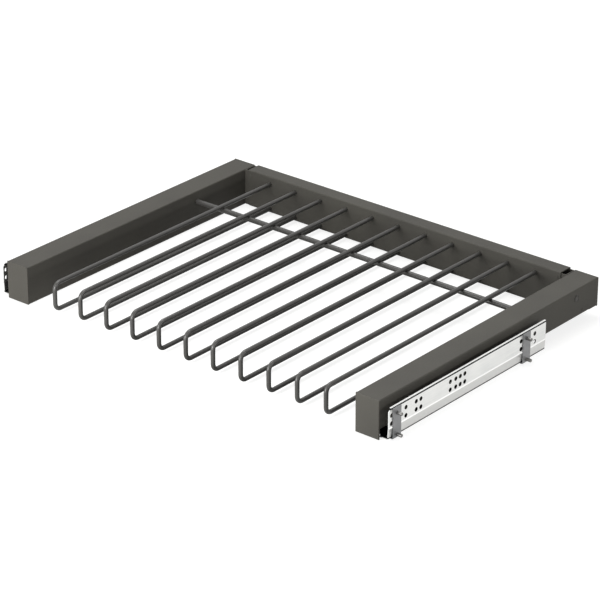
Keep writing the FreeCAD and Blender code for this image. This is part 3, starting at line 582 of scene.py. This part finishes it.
arm_low, arm_high = box_mm("right_arm_cover")
arm = flat("arm_channel", ((arm_low.x + arm_high.x) / 2, 0, arm_high.z),
           arm_high.x - arm_low.x, arm_high.y - arm_low.y)
edit(arm)
pick("edges", lambda place, way: place.x > arm_high.x - NEAR)
extrude(z=OUTER_WALL_FOOT - arm_high.z)
pick("edges", lambda place, way: place.x < arm_low.x + NEAR)
extrude(z=arm_low.z - arm_high.z)
pick("edges", lambda place, way: abs(way.y) > 0.9 and place.z > arm_high.z - NEAR)
bevel(FOLD_RADIUS, segments=5)
done()
modifier(arm, "SOLIDIFY", thickness=ARM_SHEET * MM, offset=-1, use_even_offset=True)
soften(arm, ARM_EDGE)
dress_pair(arm, "arm_channel", FRAME_COAT, "frame_powder_coat", "rack", "arm_cover")

# %% [markdown]
# ## Front end caps
#
# A cap closes the front of each arm. It is a 2 mm plate with rounded front edges and two wings
# that push in behind the arm's walls. Cutting the plate with planes gives it two narrow strips
# on the back, and extruding those strips backwards makes the wings in one piece with the plate.

# %% Front cap
CAP_PLATE = 2.0
CAP_SHEET = 1.2
CAP_ROUNDING = 1.0
CAP_EDGE = 0.2
WING_FIT = 0.1          # between a wing and the arm's wall
WING_GAP = ARM_SHEET + WING_FIT
WING_DROP = 0.9         # between a wing and the arm's ceiling
WING_TOP = arm_high.z - ARM_SHEET - WING_DROP

low, high = box_mm("right_front_cap")
inner_wing = (low.x + WING_GAP, low.x + WING_GAP + CAP_SHEET)
outer_wing = (high.x - WING_GAP - CAP_SHEET, high.x - WING_GAP)


def between(value, ends):
    return ends[0] < value < ends[1]


cap = block("front_cap", low, (high.x, low.y + CAP_PLATE, high.z))
edit(cap)
slice_at(X, *inner_wing, *outer_wing)
slice_at(Z, OUTER_WALL_FOOT, WING_TOP)
pick("faces", lambda place, way: way.y > 0.9 and place.z < WING_TOP and (
    between(place.x, inner_wing) or between(place.x, outer_wing) and place.z > OUTER_WALL_FOOT))
extrude(y=high.y - low.y - CAP_PLATE)
pick("edges", lambda place, way: place.y < low.y + NEAR and (
    abs(place.x - (low.x + high.x) / 2) > (high.x - low.x) / 2 - NEAR or place.z > high.z - NEAR))
bevel(CAP_ROUNDING, segments=4)
done()
soften(cap, CAP_EDGE)
dress_pair(cap, "front_end_cap", FRAME_COAT, "frame_powder_coat", "rack", "front_cap")

# %% [markdown]
# ## Rear end caps
#
# At the back the slide has to pass under the cap, so its plate covers only the top of the arm. A
# narrow post runs down behind the outer wall, and a long wing lies inside that wall, where a
# rivet holds it. The same cuts and extrusions make it, this time forwards.

# %% Rear cap
REAR_PLATE_HEIGHT = 20.0
TONGUE_HEIGHT = 11.0
WING_STEP = 231.0
POST_FOOT = 13.5
WING_FOOT = 17.0
REAR_CAP_EDGE = 0.3

low, high = box_mm("right_rear_cap")
inner_wing = (low.x + WING_GAP, low.x + WING_GAP + CAP_SHEET)
outer_wing = (high.x - WING_GAP - CAP_SHEET, high.x - WING_GAP)
plate_foot = high.z - REAR_PLATE_HEIGHT
tongue_foot = high.z - TONGUE_HEIGHT

cap = block("rear_cap", (low.x, high.y - CAP_PLATE, plate_foot), high)
edit(cap)
slice_at(X, *inner_wing, *outer_wing)
slice_at(Z, tongue_foot, WING_TOP)
pick("faces", lambda place, way: way.z < -0.9 and place.x > outer_wing[0])
extrude(z=POST_FOOT - plate_foot)
pick("faces", lambda place, way: way.y < -0.9 and place.z < WING_TOP and (
    between(place.x, outer_wing) or between(place.x, inner_wing) and place.z > tongue_foot))
extrude(y=WING_STEP - high.y + CAP_PLATE)
slice_at(Z, WING_FOOT)
pick("faces", lambda place, way: way.y < -0.9 and between(place.x, outer_wing)
     and place.y < WING_STEP + NEAR and place.z > WING_FOOT)
extrude(y=low.y - WING_STEP)
done()
soften(cap, REAR_CAP_EDGE)
dress_pair(cap, "rear_end_cap", FRAME_COAT, "frame_powder_coat", "rack", "rear_cap")

# %% [markdown]
# ## Back rail
#
# The rail is folded from 1.5 mm sheet: a 60 mm face that the wires screw to, a 25 mm flange over
# the top with a lip folded down behind it, and another along the bottom. The rear lip is short,
# so that a driver reaches the upper row of screws below it. It starts as the face, standing
# upright, and each flange is one more extrusion of the last edge.

# %% Folded rail
RAIL_SHEET = 1.5
RAIL_FOLD = 2.0
BOTTOM_LIP = 10.0
REAR_LIP = 8.0
RAIL_EDGE = 0.25

low, high = box_mm("back_rail")
rail = flat("back_rail_channel", (0, low.y, (low.z + high.z) / 2), high.x - low.x, high.z - low.z,
            turn=(90, 0, 0))
edit(rail)
pick("edges", lambda place, way: place.z < low.z + NEAR)
extrude(y=BOTTOM_LIP)
pick("edges", lambda place, way: place.z > high.z - NEAR)
extrude(y=high.y - low.y)
extrude(z=-REAR_LIP)
pick("edges", lambda place, way: abs(way.x) > 0.9 and (
    place.y < low.y + NEAR or place.z > high.z - NEAR))
bevel(RAIL_FOLD, segments=6)
done()
modifier(rail, "SOLIDIFY", thickness=RAIL_SHEET * MM, offset=-1, use_even_offset=True)
soften(rail, RAIL_EDGE)
dress(rail, FRAME_COAT, "frame_powder_coat", "rack", "back_rail")
RAIL_END = high.x

# %% [markdown]
# ## Brackets between rail and arms
#
# A bracket joins each end of the rail to the arm beside it. It is a channel folded from one
# blank: the middle plate lies on the arm's inner wall, the front one stands behind the rail's
# face, and the rear one closes the rail's end in front of its rear lip. Cuts near both edges of
# the middle plate leave two strips, and extruding the strips grows the other two plates out of
# it. In the gap beside the rail's end, the front one reaches down as far as the arm does.

# %% Bracket folded as a channel
BRACKET_SHEET = 1.5
BRACKET_FOOT = 2.5
BRACKET_EDGE = 0.2
END_GAP = 0.5           # between the bracket and the rail's end

low, high = box_mm("right_rail_bracket")
front = (low.y, low.y + BRACKET_SHEET)
rear = (high.y - BRACKET_SHEET, high.y)
arm_side = high.x - BRACKET_SHEET
beside_rail = RAIL_END + END_GAP
bracket = block("bracket", (arm_side, low.y, low.z), high)
edit(bracket)
slice_at(Y, front[1], rear[0])
slice_at(Z, BRACKET_FOOT)
pick("faces", lambda place, way: way.x < -0.9 and between(place.y, front))
extrude(x=beside_rail - arm_side)
pick("faces", lambda place, way: way.x < -0.9 and between(place.y, front) and place.z > BRACKET_FOOT)
extrude(x=low.x - beside_rail)
pick("faces", lambda place, way: way.x < -0.9 and between(place.y, rear) and place.z > BRACKET_FOOT)
extrude(x=low.x - arm_side)
done()
soften(bracket, BRACKET_EDGE)
dress_pair(bracket, "corner_bracket", FRAME_COAT, "frame_powder_coat", "rack", "rail_bracket")

# %% [markdown]
# ## Trouser bars
#
# Each bar is one length of 6 mm wire, bent twice round a former so that its middle follows a
# radius of 10 mm. A curve with a round bevel would do, but bending is closer to the workshop: a
# ring of points at the rail is extruded forwards, spun a quarter turn about the former's centre,
# extruded down, spun again and extruded back. One bar is modelled, and the others are copies
# beside it.
#
# The ground behind the wires is bright, and in the render its light eats a little of every thin
# dark edge. So the ring is drawn slightly wider than the wire, about the same centre line.

# %% One wire, bent twice
WIRE_RADIUS = 3.0
WIRE_EDGE = 0.3
EDGE_LOSS = 0.3
BEND_RADIUS = 10.0

low, high = box_mm("trouser_bar_01")
middle = (low.x + high.x) / 2
upper, lower = high.z - WIRE_RADIUS, low.z + WIRE_RADIUS
bend_y = low.y + WIRE_RADIUS + BEND_RADIUS

bpy.ops.object.select_all(action="DESELECT")
bpy.ops.mesh.primitive_circle_add(vertices=20, radius=(WIRE_RADIUS + EDGE_LOSS) * MM,
                                  location=metres((middle, high.y, upper)),
                                  rotation=(math.radians(90), 0, 0))
wire = settled("trouser_wire")
edit(wire)
extrude(y=bend_y - high.y)
for bend_z, drop in ((upper - BEND_RADIUS, lower - upper + 2 * BEND_RADIUS), (lower + BEND_RADIUS, 0)):
    bpy.ops.mesh.spin(steps=8, angle=math.radians(90), axis=(-1, 0, 0),
                      center=metres((middle, bend_y, bend_z)))
    if drop:
        extrude(z=drop)
extrude(y=high.y - bend_y)
bpy.ops.mesh.select_all(action="SELECT")
bpy.ops.mesh.fill_holes(sides=0)
bpy.ops.mesh.select_all(action="SELECT")
bpy.ops.mesh.remove_doubles(threshold=0.001 * MM)
bpy.ops.mesh.normals_make_consistent(inside=False)
done()
soften(wire, WIRE_EDGE)
print("one wire:", len(wire.data.polygons), "faces, bent to a radius of", BEND_RADIUS, "mm")

# %% [markdown]
# The bars are all alike, so the others are copies, each shifted to its CAD node's place. Every
# copy has a mesh of its own, because each rides as its own piece.

# %% All the bars
BARS = sorted(node for node in frame["nodes"] if node.startswith("trouser_bar_"))
bars = [wire] + [copied(wire, "wire", x=box_mm(node)[0].x - low.x) for node in BARS[1:]]
for bar, node in zip(bars, BARS):
    bar.name = node.replace("trouser_bar", "bent_wire")
    dress(bar, WIRE_COAT, "wire_powder_coat", "rack", node)

# %% [markdown]
# ## Crossbar
#
# A thin tube runs from arm to arm under the upper legs of the wires. A ring is extruded across
# the rack, and Solidify gives the tube its 1 mm wall.

# %% Tube from arm to arm
TUBE_WALL = 1.0

low, high = box_mm("crossbar")
radius = (high.z - low.z) / 2
bpy.ops.object.select_all(action="DESELECT")
bpy.ops.mesh.primitive_circle_add(vertices=32, radius=radius * MM,
                                  location=metres((low.x, low.y + radius, low.z + radius)),
                                  rotation=(0, math.radians(90), 0))
tube = settled("crossbar_tube")
edit(tube)
extrude(x=high.x - low.x)
bpy.ops.mesh.select_all(action="SELECT")
bpy.ops.mesh.normals_make_consistent(inside=False)
done()
modifier(tube, "SOLIDIFY", thickness=TUBE_WALL * MM, offset=-1, use_even_offset=True)
dress(tube, WIRE_COAT, "wire_powder_coat", "rack", "crossbar")

# %% [markdown]
# ## Cabinet members of the slides
#
# The bright strip on each side is the fixed member, roll formed from zinc-plated strip: a short
# lip along the top, a tall plate on the cabinet wall, a lower part that leans inwards, a foot
# that runs in under the arm, a wall and a hook. Rolling also presses a narrow groove under the
# lip, and leaves a low bead where the plate starts to lean.
#
# It starts as the plate, upright and facing outwards. Cuts mark the groove and the start of the
# bead. The plate's lower edge is moved out to the crest of the bead, and the folds follow one by
# one. The groove is pressed in last, when Solidify has given the strip its thickness.

# %% Folded profile
SLIDE_SHEET = 1.5
SLIDE_FOLD = 2.1
RIDGE = 19.0
LEAN = 1.2
LIP = 2.8           # a little short, because its bright edge spreads in the render
FOOT_EDGE = 308.5
FOOT_WALL = 17.0
HOOK = 11.0
SEAM_TOP = 0.4
SEAM_WIDTH = 1.6
SEAM_DEPTH = 0.9
BEAD = 1.8
BEAD_HEIGHT = 0.8
BEAD_ROUNDING = 0.5

low, high = box_mm("right_cabinet_member")
plate = flat("slide_plate", (high.x, (low.y + high.y) / 2, (RIDGE + high.z) / 2),
             high.z - RIDGE, high.y - low.y, turn=(0, 90, 0))
edit(plate)
seam_low, seam_high = high.z - SEAM_TOP - SEAM_WIDTH, high.z - SEAM_TOP
slice_at(Z, seam_low, seam_high, RIDGE + BEAD)
pick("edges", lambda place, way: place.z < RIDGE + NEAR)
bpy.ops.transform.translate(value=metres((BEAD_HEIGHT, 0, 0)))
extrude(x=-BEAD_HEIGHT - LEAN * BEAD / (RIDGE - low.z), z=-BEAD)
extrude(x=-LEAN * (1 - BEAD / (RIDGE - low.z)), z=low.z - RIDGE + BEAD)
extrude(x=FOOT_EDGE - high.x + LEAN)
extrude(z=FOOT_WALL)
extrude(x=HOOK)
pick("edges", lambda place, way: place.z > high.z - NEAR)
extrude(x=-LIP)
folds = ((high.x - LEAN, low.z), (FOOT_EDGE, low.z), (FOOT_EDGE, low.z + FOOT_WALL))
pick("edges", lambda place, way: abs(way.y) > 0.9 and any(
    abs(place.x - x) < NEAR and abs(place.z - z) < NEAR for x, z in folds))
bevel(SLIDE_FOLD, segments=4)
pick("edges", lambda place, way: abs(way.y) > 0.9 and abs(place.z - RIDGE) < NEAR)
bevel(BEAD_ROUNDING, segments=3)
done()
modifier(plate, "SOLIDIFY", thickness=SLIDE_SHEET * MM, offset=-1, use_even_offset=True)
edit(plate)
pick("faces", lambda place, way: way.x > 0.99 and seam_low < place.z < seam_high)
extrude(x=-SEAM_DEPTH)
done()
print("slide profile:", len(plate.data.polygons), "faces")

# %% [markdown]
# The plate is punched with pairs of screw holes, one over the other, alone or in groups of two
# and four, and a notch in the foot's front end clears the lever that locks a drawer on. One
# Boolean takes them all away, as one stroke of the press does. The plate's front corner is
# sheared off first, so that it doesn't catch: a bisect that clears one side and fills the cut is
# such a shear.

# %% Sheared corner, punched holes and notch
HOLE_RADIUS = 3.25
HOLE_COLUMNS = (5.5, 36, 58, 68, 132, 144, 154, 164, 292, 324)
HOLE_ROWS = (37.5, 25.5)
NOTCH_X = 333.5
NOTCH_RADIUS = 6.0
CORNER = 5.0
PUNCH_TIP = 3.0         # how far a punch reaches through the strip
PUNCH_HEAD = 1.0        # and how far it starts before it
PLATE_EDGE = 0.15

edit(plate)
bpy.ops.mesh.bisect(plane_co=metres((0, low.y, high.z - CORNER)), plane_no=(0, -1, 1),
                    clear_outer=True, use_fill=True)
done()
punches = [rod("punch", (high.x - PUNCH_TIP, low.y + step, z), (high.x + PUNCH_HEAD, low.y + step, z),
               HOLE_RADIUS) for step in HOLE_COLUMNS for z in HOLE_ROWS]
punches.append(rod("punch", (NOTCH_X, low.y, low.z - PUNCH_HEAD), (NOTCH_X, low.y, low.z + PUNCH_TIP),
                   NOTCH_RADIUS))
drill(plate, joined("punches", punches))
soften(plate, PLATE_EDGE)
print("punched plate:", len(plate.data.polygons), "faces")

# %% [markdown]
# Punching tears the zinc, so the walls of the holes are bare steel, and they are drawn near black
# as painted shade, so that the holes read dark. They get a second material slot: the small faces
# round each hole's axis are picked and the slot is assigned to them. This is also what one would
# do by hand, with the Assign button.

# %% Walls of the holes in painted shade
BRIGHT_RIM = 0.2        # the broken edge round a hole keeps its zinc


def in_a_hole(place):
    return any(math.hypot(place.y - low.y - step, place.z - z) < HOLE_RADIUS + NEAR
               for step in HOLE_COLUMNS for z in HOLE_ROWS)


plate.data.materials.append(PLATE_ZINC)
plate.data.materials.append(HOLE_WALL_SHADE)
edit(plate)
walls = pick("faces", lambda place, way: in_a_hole(place)
             and high.x - SLIDE_SHEET - NEAR < place.x < high.x - BRIGHT_RIM)
plate.active_material_index = 1
bpy.ops.object.material_slot_assign()
done()
print("faces in the holes:", walls)
dress_pair(plate, "slide_plate", PLATE_ZINC, "zinc_plated_steel", "cabinet_rails", "cabinet_member")

# %% [markdown]
# ## Peg brackets
#
# Two straps of galvanised sheet are welded to each plate. Each stands on the plate's outside,
# turns in under the foot, and carries two pegs that push into the row of holes in a cabinet
# wall. A strap is a small plane with one fold.

# %% Straps
STRAP_FOLD = 2.1
STRAP_EDGE = 0.25

for place_name in ("front", "rear"):
    low, high = box_mm("right_%s_peg_bracket" % place_name)
    strap = flat("strap", (high.x, (low.y + high.y) / 2, (low.z + high.z) / 2), high.z - low.z,
                 high.y - low.y, turn=(0, 90, 0))
    edit(strap)
    pick("edges", lambda place, way: place.z < low.z + NEAR)
    extrude(x=low.x - high.x)
    pick("edges", lambda place, way: abs(way.y) > 0.9 and place.x > high.x - NEAR
         and place.z < low.z + NEAR)
    bevel(STRAP_FOLD, segments=4)
    done()
    modifier(strap, "SOLIDIFY", thickness=SLIDE_SHEET * MM, offset=-1, use_even_offset=True)
    soften(strap, STRAP_EDGE)
    dress_pair(strap, place_name + "_strap", GALVANISED, "galvanised_bracket_steel",
               "cabinet_rails", place_name + "_peg_bracket")

# %% [markdown]
# ## Turned pieces
#
# Pegs, rivets, screws, bolts and plugs are all turned or headed on an axis. A lathe would cut
# them in steps, and so does this helper: a disc is pushed along its axis, and wherever the
# diameter changes the new end is scaled first. The rim of the first disc is then rounded, which
# makes the crown of a head or the tip of a peg.

# %% Turning in steps
def turned(name, start, way, steps, crown, segments=4):
    """A piece turned in steps of (radius, length) from start along way, in millimetres."""
    way = Vector(way)
    place = Vector(start)
    bpy.ops.object.select_all(action="DESELECT")
    bpy.ops.mesh.primitive_circle_add(vertices=32, radius=steps[0][0] * MM, fill_type="NGON",
                                      location=metres(place), rotation=along((0, 0, 0), way)[2])
    piece = settled(name)
    edit(piece)
    for before, (radius, length) in zip((steps[0], *steps), steps):
        if radius != before[0]:
            extrude()
            share = radius / before[0]
            bpy.ops.transform.resize(value=(share, share, share), center_override=metres(place))
        extrude(*(way * length))
        place += way * length
    bpy.ops.mesh.select_all(action="SELECT")
    bpy.ops.mesh.normals_make_consistent(inside=False)
    pick("edges", lambda middle, run: abs((middle - Vector(start)).dot(way)) < NEAR)
    bevel(crown, segments)
    done()
    return piece


print("turning helper ready")

# %% [markdown]
# ## Pegs
#
# A peg is a nickel-plated pin with a chamfered tip, and its thinner shank is riveted into the
# strap. Each slide has four: two heights, in front and behind.

# %% Four pegs on each slide
PEG = ((2.5, 8.0), (2.0, 1.5))

low, high = box_mm("right_dowel_pegs")
peg_radius = PEG[0][0]
pegs = [turned("peg", (high.x, y, z), (-1, 0, 0), PEG, crown=0.6, segments=2)
        for y in (low.y + peg_radius, high.y - peg_radius)
        for z in (low.z + peg_radius, high.z - peg_radius)]
dress_pair(joined("pegs", pegs), "pegs", TURNED, "turned_steel_pegs", "cabinet_rails", "dowel_pegs")

# %% [markdown]
# ## Painted rivets
#
# One domed rivet holds each rear cap's wing to the arm, and one holds each end of the rail to
# its bracket. They are set before the frame is coated, so they have the frame's colour. Head,
# shank and tail are three steps of one turned piece.

# %% Rivets in the caps and the rail
CAP_RIVET = ((2.2, 0.6), (1.6, 2.5), (2.2, 0.6))
RAIL_RIVET = ((2.2, 0.8), (1.5, 3.0), (2.2, 0.8))


def on_both_sides(piece, name):
    """A right-hand piece and its mirror image as one object."""
    return joined(name, [piece, mirrored(piece, name + "_twin")])


low, high = box_mm("cap_rivets")
rivet = turned("rivet", (high.x, (low.y + high.y) / 2, (low.z + high.z) / 2), (-1, 0, 0), CAP_RIVET,
               crown=0.4)
dress(on_both_sides(rivet, "cap_rivet_heads"), FRAME_COAT, "painted_rivets", "rack", "cap_rivets")

low, high = box_mm("rail_rivets")
rivet = turned("rivet", (high.x - RAIL_RIVET[0][0], low.y, (low.z + high.z) / 2), (0, 1, 0),
               RAIL_RIVET, crown=0.6)
dress(on_both_sides(rivet, "rail_rivet_heads"), FRAME_COAT, "painted_rivets", "rack", "rail_rivets")

# %% [markdown]
# ## Access plugs
#
# A moulded plug closes the hole through which a driver reaches the screws inside the arm. Its
# face has a narrow groove round the middle disc. An inset leaves the rim, and all inside it is
# pushed in. A second inset marks the middle disc, which is pulled out again, and the groove is
# what stays behind.

# %% Plugs with a grooved face
PLUG = ((5.6, 0.5), (4.95, 3.0))
GROOVE_RIM = 0.5
GROOVE_WIDTH = 0.9
GROOVE_DEPTH = 2.0

low, high = box_mm("access_plugs")
plug = turned("plug", (high.x, (low.y + high.y) / 2, (low.z + high.z) / 2), (-1, 0, 0), PLUG,
              crown=0.25)
edit(plug)
pick("faces", lambda place, way: way.x > 0.99 and place.x > high.x - NEAR)
bpy.ops.mesh.inset(thickness=GROOVE_RIM * MM)
extrude(x=-GROOVE_DEPTH)
bpy.ops.mesh.inset(thickness=GROOVE_WIDTH * MM)
extrude(x=GROOVE_DEPTH)
done()
dress(on_both_sides(plug, "grooved_plugs"), PLUG_PLASTIC, "plug_plastic", "rack", "access_plugs")

# %% [markdown]
# ## Screws behind the rail
#
# Every leg of every bar is held by a pan head screw from behind the rail: twenty-two in all. One
# is turned, its cross recess is cut by two crossed blocks, and the others are copies of it.

# %% Pan head screws
BAR_SCREW = ((3.5, 2.4), (2.0, 12.5))
RECESS_LENGTH = 3.8
RECESS_WIDTH = 0.9
RECESS_DEPTH = 1.3
SCREW_EDGE = 0.1

low, high = box_mm("bar_screws")
first = Vector((low.x + BAR_SCREW[0][0], high.y, low.z + BAR_SCREW[0][0]))
screw = turned("screw", first, (0, -1, 0), BAR_SCREW, crown=1.0)
reach = Vector((RECESS_LENGTH / 2, RECESS_DEPTH, RECESS_WIDTH / 2))
turned_reach = Vector((RECESS_WIDTH / 2, RECESS_DEPTH, RECESS_LENGTH / 2))
for arm_of_cross in (reach, turned_reach):
    drill(screw, block("recess", first - arm_of_cross, first + arm_of_cross))
soften(screw, SCREW_EDGE, segments=1)
steps_x = [box_mm(node)[0].x - box_mm(BARS[0])[0].x for node in BARS]
steps_z = (0, high.z - low.z - 2 * BAR_SCREW[0][0])
others = [copied(screw, "screw", x=x, z=z) for x in steps_x for z in steps_z if x or z]
dress(joined("pan_head_screws", [screw] + others), SCREW_ZINC, "screw_steel", "rack", "bar_screws")

# %% [markdown]
# ## Bolts in the brackets
#
# Two button head bolts hold each bracket to its arm. Their hexagon socket is cut by a rod with
# six sides.

# %% Button head bolts
BOLT = ((4.2, 3.0), (2.5, 6.2))
SOCKET_FLATS = 3.0
SOCKET_DEPTH = 1.7

low, high = box_mm("bracket_bolts")
head_top = Vector((high.x - sum(length for _, length in BOLT), (low.y + high.y) / 2, low.z + BOLT[0][0]))
bolt = turned("bolt", head_top, (1, 0, 0), BOLT, crown=1.7, segments=5)
drill(bolt, rod("socket", head_top - Vector((1, 0, 0)), head_top + Vector((SOCKET_DEPTH, 0, 0)),
                SOCKET_FLATS / 2 / math.cos(math.radians(30)), vertices=6))
upper_bolt = copied(bolt, "bolt", z=high.z - low.z - 2 * BOLT[0][0])
dress(on_both_sides(joined("bolts", [bolt, upper_bolt]), "button_head_bolts"), SCREW_ZINC,
      "screw_steel", "rack", "bracket_bolts")

# %% [markdown]
# ## Camera
#
# A long lens from a little over four metres, turned about 40 degrees to the right of the front
# and 25 degrees up. The long lens keeps the rack's edges nearly parallel, as in a catalogue.

# %% Camera from the front right
AZIMUTH = math.radians(39.94)
ELEVATION = math.radians(25.32)
DISTANCE = 4.13
AIM = Vector((0.0656, -0.0806, 0.0581))
LENS = 177.4

away = Vector((math.sin(AZIMUTH) * math.cos(ELEVATION), -math.cos(AZIMUTH) * math.cos(ELEVATION),
               math.sin(ELEVATION)))
lens = bpy.data.cameras.new("camera")
lens.lens = LENS
lens.sensor_width = 36.0
camera = bpy.data.objects.new("camera", lens)
bpy.context.scene.collection.objects.link(camera)
camera.location = AIM + away * DISTANCE
camera.rotation_euler = away.to_track_quat("Z", "Y").to_euler()
bpy.context.scene.camera = camera
print("camera at", [round(c, 3) for c in camera.location])

# %% [markdown]
# ## Floor
#
# The rack stands on a floor of plain pale paper, just under its lowest edge. To the camera the
# paper also glows: a little less under the rack, so that its soft shadow stays, and up to full
# white further out. In reflections it glows only from about 0.3 m outwards, where the bright
# slides mirror it. Both follow the distance from the origin.

# %% Pale floor
FLOOR_SIZE = 40.0
FLOOR_DROP = 0.0006

bpy.ops.object.select_all(action="DESELECT")
bpy.ops.mesh.primitive_plane_add(size=FLOOR_SIZE, location=(0, 0, -FLOOR_DROP))
floor = settled("floor")
paper, output = new_material("matt_white_paper")
place = add(paper, "ShaderNodeTexCoord").outputs["Object"]
away_from_rack = add(paper, "ShaderNodeVectorMath", {0: place}, operation="LENGTH")
glow = add(paper, "ShaderNodeMapRange",
           {"Value": away_from_rack.outputs["Value"], "From Min": 0.45, "From Max": 1.3,
            "To Min": 0.80, "To Max": 1.0})
sheen = add(paper, "ShaderNodeMapRange",
            {"Value": away_from_rack.outputs["Value"], "From Min": 0.27, "From Max": 0.34,
             "To Min": 0.0, "To Max": 0.61})
path = add(paper, "ShaderNodeLightPath")
to_camera = add(paper, "ShaderNodeMath",
                {0: path.outputs["Is Camera Ray"], 1: glow.outputs["Result"]}, operation="MULTIPLY")
strength = add(paper, "ShaderNodeMath",
               {0: path.outputs["Is Glossy Ray"], 1: sheen.outputs["Result"],
                2: to_camera.outputs["Value"]}, operation="MULTIPLY_ADD")
shader = add(paper, "ShaderNodeBsdfPrincipled",
             {"Base Color": colour("#A2A2A0"), "Roughness": 0.9,
              "Emission Color": (1, 1, 1, 1), "Emission Strength": strength.outputs["Value"]})
finish(paper, output, shader)
floor.data.materials.append(paper)

# %% [markdown]
# ## Light
#
# Plain studio light: a wide soft lamp overhead and a little behind, a softbox low in front, and
# a weaker strip light on the right. The front softbox stands close, so that its light falls off
# before it reaches the back rail. The strip light stands high enough to shine over the slide
# onto the arm behind it. The world lights all sides evenly and weakly, and is white to the
# camera and in reflections.

# %% Lamps and world
def softbox(name, place, aim, size, watts, height=None):
    """An area lamp that the camera doesn't see. It is square unless a height is given."""
    light = bpy.data.lights.new(name, "AREA")
    light.shape = "RECTANGLE"
    light.size = size
    light.size_y = height or size
    light.energy = watts
    lamp = bpy.data.objects.new(name, light)
    bpy.context.scene.collection.objects.link(lamp)
    lamp.location = place
    lamp.rotation_euler = (Vector(place) - Vector(aim)).to_track_quat("Z", "Y").to_euler()
    lamp.visible_camera = False
    return lamp


softbox("overhead", place=(-0.6, 0.5, 2.6), aim=(0, 0, 0), size=1.8, watts=49)
softbox("front", place=(-0.12, -1.15, 0.3), aim=(0, -0.1, 0.03), size=0.6, watts=14.2)
softbox("right", place=(1.0, 0.0, 0.25), aim=(0.3, 0, 0.04), size=0.6, watts=1.9, height=0.1)

world = bpy.data.worlds.new("studio")
bpy.context.scene.world = world
world.use_nodes = True
world.node_tree.nodes.clear()
path = add(world, "ShaderNodeLightPath")
seen = add(world, "ShaderNodeMath",
           {0: path.outputs["Is Camera Ray"], 1: path.outputs["Is Glossy Ray"]}, operation="MAXIMUM")
clear = add(world, "ShaderNodeMath",
            {0: seen.outputs["Value"], 1: path.outputs["Is Transmission Ray"]}, operation="MAXIMUM")
level = add(world, "ShaderNodeMapRange",
            {"Value": clear.outputs["Value"], "To Min": 0.1, "To Max": 1.0})
sky = add(world, "ShaderNodeBackground", {"Strength": level.outputs["Result"]})
sky.inputs["Color"].default_value = (1, 1, 1, 1)
surface = add(world, "ShaderNodeOutputWorld")
world.node_tree.links.new(sky.outputs[0], surface.inputs["Surface"])
bpy.context.scene.view_settings.view_transform = "Standard"
print("lamps:", [light.name for light in bpy.data.lights])
